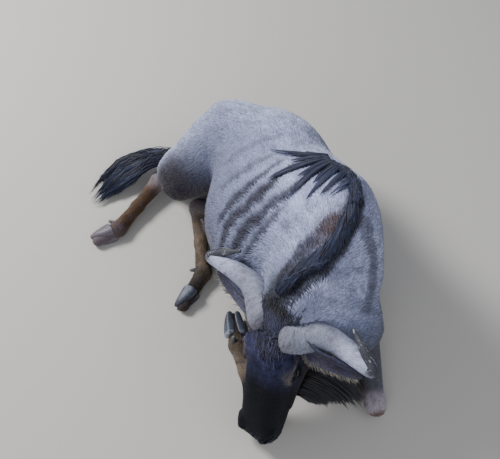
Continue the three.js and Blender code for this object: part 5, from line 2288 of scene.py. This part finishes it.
@dataclass
class Ear:
    """One ear: a cupped leaf with short hair outside, pale hair in the cup and a cream fringe below."""

    anatomy: Anatomy
    locks: Locks
    side: Side
    half: float = 0.036
    shell: float = 0.003
    # how deep the cup is; 1 is round
    cup: float = 0.62
    rings: int = 40
    across: int = 18
    sweep: float = 1.4
    # the midlines in the head's frame, and the way that each cup opens there
    lines: tuple[tuple[Place, ...], tuple[Place, ...]] = (
        ((0.046, 0.074, -0.052), (0.065, 0.138, -0.030), (0.069, 0.212, -0.051), (0.065, 0.283, -0.063)),
        ((0.038, -0.070, -0.060), (0.061, -0.133, -0.050), (0.050, -0.216, -0.062), (0.018, -0.281, -0.053)),
    )
    opens: tuple[Place, Place] = ((0.36, 0.03, 0.93), (0.36, -0.07, 0.93))

    def sections(self) -> tuple[Array, Array]:
        """The outer and the inner surface.

        Returns:
            Both, as ring, point across, coordinate.
        """
        head = self.anatomy.head
        number = 0 if self.side is Side.LEFT else 1
        line = Line([head.place(*p) for p in self.lines[number]])
        way = head.axes.T @ vec(*self.opens[number])
        outer, inner = [], []
        for i in range(self.rings + 1):
            u = i / self.rings
            at, ahead = line.at(u), line.tangent(u)
            across = unit(np.cross(ahead, unit(way)))
            up = unit(np.cross(across, ahead))
            wide = max(self.half * min(0.62 + 1.5 * u, 1) * math.sqrt(max(1 - u**2.4, 0)), 0.003)
            shell = min(self.shell, wide * 0.4)
            turns = np.linspace(-self.sweep, self.sweep, self.across)[:, None]

            def arc(radius: float, depth: float) -> Array:
                """One row of points across the leaf."""
                height = self.cup * (0.5 * wide - depth * np.cos(turns))
                return at + across * radius * np.sin(turns) + up * height

            closed = 1 - float(smoothstep(0.05, 0.22, np.array(u)))
            depth = (wide - shell / self.cup) * (1 - closed) - wide * 0.4 * closed
            outer.append(arc(wide, wide))
            inner.append(arc(wide - shell, depth))
        return np.array(outer), np.array(inner)

    def build(self) -> None:
        """Makes the leaf, its short hair and its fringe."""
        outer, inner = self.sections()
        rings = np.concatenate([outer, inner[:, ::-1]], axis=1)
        points, faces = lofted(rings[None])
        faces = faced_out(points, faces, rings.mean(axis=(0, 1)))
        count = 2 * self.across
        inside = np.r_[np.tile(np.arange(count) >= self.across, self.rings + 1), False, False].astype(float)
        u = np.r_[np.repeat(np.linspace(0, 1, self.rings + 1), count), 0, 1]
        shade = wash(Palette.EAR, len(points))
        shade = blend(shade, Palette.EAR_CUP, inside * (0.8 - 0.5 * u))
        shade = blend(shade, Palette.NIGHT, 0.5 * smoothstep(0.75, 1.0, u))
        place = self.locks.skin.bake_near(rings[:1, 0])[0]
        leaf = Shape(points, faces, shade, np.tile(place, (faces.size, 1)))
        hair = self.hair(outer, inner)
        name = f"ear_{self.side.word}"
        finish = FurFinish(name, rough=0.6, low=0.85, high=1.15, grain=420).make()
        leaf.joined(hair).put(f"{name}_furred", "ear_coat", [name], finish)

    def hair(self, outer: Array, inner: Array) -> Shape:
        """Short hair on the back, longer hair in the cup and a fringe from the lower rim.

        Args:
            outer: the outer surface.
            inner: the inner surface.

        Returns:
            The shape of it all.
        """
        draws = np.random.default_rng(300 + self.side.value)
        shapes = []
        lower, upper = ((0.93, 1.0), (0.0, 0.07)) if self.side is Side.LEFT else ((0.0, 0.07), (0.93, 1.0))
        pale = 170 if self.side is Side.LEFT else 40
        # for each stretch: its surface, how many hairs, their length, tint, part of the width and facing
        settings = (
            (outer, 1900, (0.005, 0.010), Palette.EAR_HAIR, 0.0, 1.0, 1.0),
            (inner, 460, (0.010, 0.020), Palette.EAR_CUP_HAIR, 0.0, 1.0, -1.0),
            (outer, pale, (0.010, 0.022), Palette.CREAM, *lower, 1.0),
            (outer, 260, (0.006, 0.012), Palette.EAR_RIM, *upper, 1.0),
        )
        for surface, count, length, tint, low, high, facing in settings:
            u, v = draws.uniform(0.03, 0.95, count), draws.uniform(low, high, count)
            rows, columns = u * (len(surface) - 1), v * (surface.shape[1] - 1)
            i = np.minimum(rows.astype(int), len(surface) - 2)
            j = np.minimum(columns.astype(int), surface.shape[1] - 2)
            s, t = (rows - i)[:, None], (columns - j)[:, None]
            near = surface[i, j] * (1 - t) + surface[i, j + 1] * t
            far = surface[i + 1, j] * (1 - t) + surface[i + 1, j + 1] * t
            root = near * (1 - s) + far * s
            ahead = unit(surface[i + 1, j] - surface[i, j])
            across = unit(surface[i, j + 1] - surface[i, j])
            out = unit(np.cross(ahead, across)) * facing * self.outward(surface)
            edge = across * np.where(v < 0.5, -1, 1)[:, None]
            fringe = 0.9 if high - low < 0.5 else 0.0
            way = unit(ahead + out * 0.18 + edge * fringe + draws.normal(0, 0.14, (count, 3)))
            reach = draws.uniform(*length, (count, 1))
            base = root - out * 0.001
            paths = np.stack([base + way * reach * k / 3 + out * reach * 0.03 * k for k in range(4)], 1)
            wide = draws.uniform(0.0007, 0.0012, count)
            tone = tint.linear * draws.uniform(0.65, 1.35, (count, 1))
            shapes.append(self.locks.build(paths, wide, wide * 0.4, out, tone, 1.25))
        result = shapes[0]
        for shape in shapes[1:]:
            result = result.joined(shape)
        return result

    def outward(self, surface: Array) -> float:
        """The sign that makes a surface's own normal face away from the cup's axis."""
        i, j = len(surface) // 2, surface.shape[1] // 2
        normal = np.cross(surface[i + 1, j] - surface[i, j], surface[i, j + 1] - surface[i, j])
        return float(np.sign(normal @ (surface[i, j] - surface[i, [0, -1]].mean(axis=0))))


@dataclass
class Foot:
    """The two claws and two dewclaws of one foot."""

    side: Side
    fore: bool
    sole: Place
    length: float = 0.082
    back: float = 0.064
    wide: float = 0.0175
    deep: float = 0.024
    apart: float = 0.0185
    # the dewclaw: its half width, its distance from the middle and how far it stands off the pastern
    dew_wide: float = 0.009
    dew_apart: float = 0.015
    dew_reach: float = 0.0182
    dew_around: int = 20
    rings: int = 36
    around: int = 32
    # share of the length, of the width and of the depth, and how far the middle has dropped
    profile: tuple[tuple[float, float, float, float], ...] = (
        (0.0, 0.86, 0.86, 0.0),
        (0.12, 1.0, 1.0, 0.02),
        (0.45, 1.0, 0.84, 0.16),
        (0.75, 0.82, 0.58, 0.42),
        (0.95, 0.5, 0.3, 0.66),
        (1.0, 0.28, 0.16, 0.74),
    )

    def __post_init__(self) -> None:
        """Finds the foot's axes."""
        _, _, self.fetlock, self.toe = LIMBS[self.side].joints(self.fore)
        self.ahead = unit(self.toe - self.fetlock)
        self.across = unit(np.cross(self.ahead, np.array(self.sole)))
        self.down = unit(np.cross(self.across, self.ahead))
        if self.down @ np.array(self.sole) < 0:
            self.down = -self.down

    @property
    def name(self) -> str:
        """The foot's part of its nodes' names."""
        return f"{'fore' if self.fore else 'hind'}_{self.side.word}"

    def beyond_crown(self, p: Array) -> Array:
        """How far each point lies past the crown of the hoof, where it is near the foot."""
        q = p - self.toe
        past = q @ self.ahead + self.back
        near = np.linalg.norm(q, axis=1) < 0.10
        return np.where(near, past, -1)

    def build(self, finish: Material) -> None:
        """Makes the claws and dewclaws."""
        for word, sign in (("inner", 1), ("outer", -1)):
            self.claw(word, sign, finish)
            self.dewclaw(word, sign, finish)

    def claw(self, word: str, sign: int, finish: Material) -> None:
        """Makes one claw with growth lines.

        Args:
            word: the claw's place in its name.
            sign: 1 for the inner claw, -1 for the outer one.
            finish: its material.
        """
        table = np.array(self.profile)
        spots = np.linspace(0, 1, self.rings) ** 0.9
        place = np.interp(spots, table[:, 0], np.arange(len(table)))
        turn = circle(self.around)
        rings = []
        for t in place:
            along, wide, deep, drop = (through(table[:, k], t) for k in range(4))
            line = 1 + 0.012 * math.sin(along * 70) * (1 - along)
            at = self.toe + self.ahead * (along * self.length - self.back)
            at = at + self.across * sign * self.apart * (1 - 0.25 * along) + self.down * drop * self.deep
            cos, sin = (np.sign(w) * np.abs(w) ** 0.7 for w in (np.cos(turn), np.sin(turn)))
            ring = at + np.outer(cos, self.across) * self.wide * wide * line
            rings.append(ring + np.outer(sin, self.down) * self.deep * deep * line)
        points, faces = lofted(np.array(rings)[None])
        off_floor(points)
        u = np.r_[np.repeat(spots, self.around), 0, 1]
        shade = wash(Palette.HOOF, len(points))
        dark = smoothstep(0.2, 0.8, u + 0.2 * ripple(points, 0.03, 401))
        shade = blend(shade, Palette.HOOF_TOE, 0.8 * dark)
        lines = 0.5 + 0.5 * np.sin(u * 60 + 1.5 * ripple(points, 0.02, 402))
        shade = blend(shade, Palette.HOOF_LINE, 0.25 * lines)
        crown = 1 - smoothstep(0.05, 0.16, u + 0.05 * ripple(points, 0.012, 403))
        patch = np.clip(0.55 + ripple(points, 0.03, 404), 0, 1)
        shade = blend(shade, Palette.HOOF_CROWN, 0.75 * crown * patch)
        if self.side is Side.RIGHT and not self.fore:
            shade = blend(shade, Palette.PINK_LEG, 0.7)
        name = f"hoof_{self.name}_{word}"
        Shape(points, faces, shade).put(f"{name}_shell", "hoof", [name], finish)

    def dewclaw(self, word: str, sign: int, finish: Material) -> None:
        """Makes one dewclaw.

        Args:
            word: the claw's place in its name.
            sign: 1 for the inner one, -1 for the outer one.
            finish: its material.
        """
        radius = 0.028 if self.fore else 0.029
        root = self.fetlock + self.across * sign * self.dew_apart + self.down * radius * 0.55
        way = unit(self.down + self.ahead * 0.7 + self.across * sign * 0.3)
        reach = radius * 0.45 + self.dew_reach
        side = unit(np.cross(way, self.across))
        turn = circle(self.dew_around)
        rings = []
        spots = np.r_[np.linspace(0, 0.9, 12), 0.95, 0.98, 1.0]
        for u in spots:
            cap = math.sqrt(max(1 - max(0, (u - 0.86) / 0.14) ** 2, 0.02))
            wide = self.dew_wide * (1 - 0.45 * u * u) * cap
            high = self.dew_wide * (0.8 - 0.35 * u * u) * cap
            ring = root + way * reach * u + np.outer(np.cos(turn), unit(np.cross(side, way))) * wide
            rings.append(ring + np.outer(np.sin(turn), side) * high)
        points, faces = lofted(np.array(rings)[None])
        off_floor(points)
        u = np.r_[np.repeat(spots, self.dew_around), 0, 1]
        # painted highlight: the dewclaw grows lighter towards its tip
        shade = blend(wash(Palette.DEWCLAW, len(points)), Palette.DEWCLAW_HIGHLIGHT, 0.5 * u**3)
        name = f"dewclaw_{self.name}_{word}"
        Shape(points, faces, shade).put(f"{name}_shell", "hoof", [name], finish)


@dataclass
class Eye:
    """One eye, dark brown with a level oval pupil, set in its lids."""

    anatomy: Anatomy
    side: Side
    rings: int = 40
    around: int = 48
    # the dome over the pupil: how far it rises, and its half width as an angle
    dome: float = 0.0012
    dome_half: float = 0.55
    # where the iris fades out, and the half sizes of the pupil
    iris: tuple[float, float] = (0.0115, 0.0135)
    pupil_half: float = 0.0085
    pupil_high: float = 0.0045

    def build(self, finish: Material) -> None:
        """Makes the eyeball.

        Args:
            finish: its material.
        """
        head = self.anatomy.head
        sign = self.side.value
        centre = head.place(head.eye_along, sign * head.eye_left, head.eye_out)
        gaze = unit(head.left * sign + head.out * 0.25 + head.along * 0.05)
        level = unit(head.along - gaze * (head.along @ gaze))
        tall = np.cross(gaze, level)
        polar = np.linspace(0.02, math.pi - 0.02, self.rings)
        turn = circle(self.around)
        radius = head.eye_radius - 0.0002 + self.dome * np.exp(-((polar / self.dome_half) ** 2))
        around = np.cos(turn)[None, :, None] * level + np.sin(turn)[None, :, None] * tall
        ball = np.cos(polar)[:, None, None] * gaze + np.sin(polar)[:, None, None] * around
        points, faces = lofted((centre + radius[:, None, None] * ball)[None])
        faces = faced_out(points, faces, centre)
        local = points - centre
        a, b = local @ level, local @ tall
        shade = wash(Palette.EYE, len(points))
        iris = 1 - smoothstep(*self.iris, np.hypot(a, b))
        shade = blend(shade, Palette.IRIS, iris)
        pupil = 1 - smoothstep(0.85, 1.05, np.hypot(a / self.pupil_half, b / self.pupil_high))
        shade = blend(shade, Palette.PUPIL, pupil * (local @ gaze > 0))
        name = f"eye_{self.side.word}"
        Shape(points, faces, shade).put(f"{name}_ball", "eye", [name], finish)


@dataclass
class Stage:
    """A pale floor, soft studio light and the camera at the photo's angle."""

    # degrees, metres, and the focal length in widths of the picture
    elevation: float = 60.0
    distance: float = 2.8
    focal: float = 760 / 500
    target: Place = (-0.10, 0.12, 0.0)
    floor_half: float = 60.0
    # the camera's film, in millimetres
    film: float = 36.0
    # each lamp's name, place, width in metres and power in watts
    lamps: tuple[tuple[str, Place, float, float], ...] = (
        ("key", (-2.7, 1.5, 3.0), 1.1, 200),
        ("fill", (2.6, -1.6, 2.6), 2.6, 22),
        ("front", (-0.8, -3.2, 2.2), 2.2, 30),
    )
    sky: tuple[float, float, float, float] = (0.80, 0.85, 0.95, 1)
    sky_strength: float = 0.42

    def build(self) -> None:
        """Makes it all."""
        half = self.floor_half
        corners = np.array([(-half, -half, 0), (half, -half, 0), (half, half, 0), (-half, half, 0)])
        floor = mesh_object("floor", corners, np.array([[0, 1, 2, 3]]))
        floor.data.materials.append(FloorFinish().make())
        self.camera()
        self.lights()

    def camera(self) -> None:
        """Places the camera."""
        elevation = math.radians(self.elevation)
        back = Vector((0, -math.cos(elevation), math.sin(elevation)))
        data = bpy.data.cameras.new("camera")
        data.sensor_width = self.film
        data.lens = self.film * self.focal
        view = bpy.data.objects.new("camera", data)
        view.location = Vector(self.target) + back * self.distance
        view.rotation_euler = (math.pi / 2 - elevation, 0, 0)
        bpy.context.scene.collection.objects.link(view)
        bpy.context.scene.camera = view

    def lights(self) -> None:
        """Places three soft lamps and a pale sky."""
        for name, place, size, power in self.lamps:
            data = bpy.data.lights.new(name, "AREA")
            data.size = size
            data.energy = power
            lamp = bpy.data.objects.new(name, data)
            lamp.location = place
            lamp.rotation_euler = (Vector(self.target) - Vector(place)).to_track_quat("-Z", "Y").to_euler()
            bpy.context.scene.collection.objects.link(lamp)
        world = bpy.data.worlds.new("world")
        world.use_nodes = True
        sky = world.node_tree.nodes["Background"]
        sky.inputs["Color"].default_value = self.sky
        sky.inputs["Strength"].default_value = self.sky_strength
        bpy.context.scene.world = world


def off_limits(anatomy: Anatomy, feet: Sequence[Foot]) -> Callable[[Array], Array]:
    """Where no short hair grows.

    Args:
        anatomy: the animal.
        feet: its four feet.

    Returns:
        A function of places that gives the distance to the nearest bare part.
    """
    head = anatomy.head
    face = FaceForm(anatomy)
    nostril = vec(0.434, 0.061, -0.042)
    nostril_reach = 0.013
    crown_margin = 0.004

    def clear(p: Array) -> Array:
        """The distance of each place from eyes, nostrils, horns and hooves.

        Args:
            p: the places.

        Returns:
            One distance a place, negative on a bare part.
        """
        along, left, out = head.local(p).T
        side = np.abs(left)
        here = np.stack([along, side, out], 1)
        far = np.full(len(p), 1.0)
        eye = np.linalg.norm(here - head.eye, axis=1)
        far = np.minimum(far, np.where(eye < 0.05, face.almond(along, out) - 0.001, 1))
        far = np.minimum(far, np.linalg.norm(here - nostril, axis=1) - nostril_reach)
        # hair grows a little way up the horns' bases and over the crowns of the hooves
        for (*start, start_radius), (*end, end_radius) in zip(Horn.rows[:5], Horn.rows[1:6]):
            horn = RoundCone(tuple(start), tuple(end), start_radius, end_radius)
            far = np.minimum(far, horn(here) + crown_margin)
        for foot in feet:
            far = np.minimum(far, -foot.beyond_crown(p) + crown_margin)
        return far

    return clear


def main() -> None:
    """Builds the animal piece by piece."""
    logging.basicConfig(level=logging.INFO, format="%(message)s")
    anatomy = Anatomy()
    markings = Markings(anatomy)
    feet = (
        Foot(Side.RIGHT, True, (0.35, -0.25, 0.9)),
        Foot(Side.LEFT, True, (0, 0.2, 0.95)),
        Foot(Side.RIGHT, False, (-0.35, 0.75, -0.3)),
        Foot(Side.LEFT, False, (-0.8, 0.35, -0.2)),
    )
    skin = Skin(anatomy, markings)
    skin.build()
    skin.dress()
    Coat(skin, markings, off_limits(anatomy, feet)).build()
    locks = Locks(skin)
    Mane(anatomy, locks).build()
    Beard(anatomy, locks).build()
    Tail(locks).build()
    Forelock(anatomy, skin, locks, markings).build()
    for side in Side:
        Horn(anatomy, side).build()
        Ear(anatomy, locks, side).build()
    hoof = HoofFinish().make()
    for foot in feet:
        foot.build(hoof)
    wet = EyeFinish().make()
    for side in Side:
        Eye(anatomy, side).build(wet)
    Stage().build()


if __name__ == "__main__":
    main()
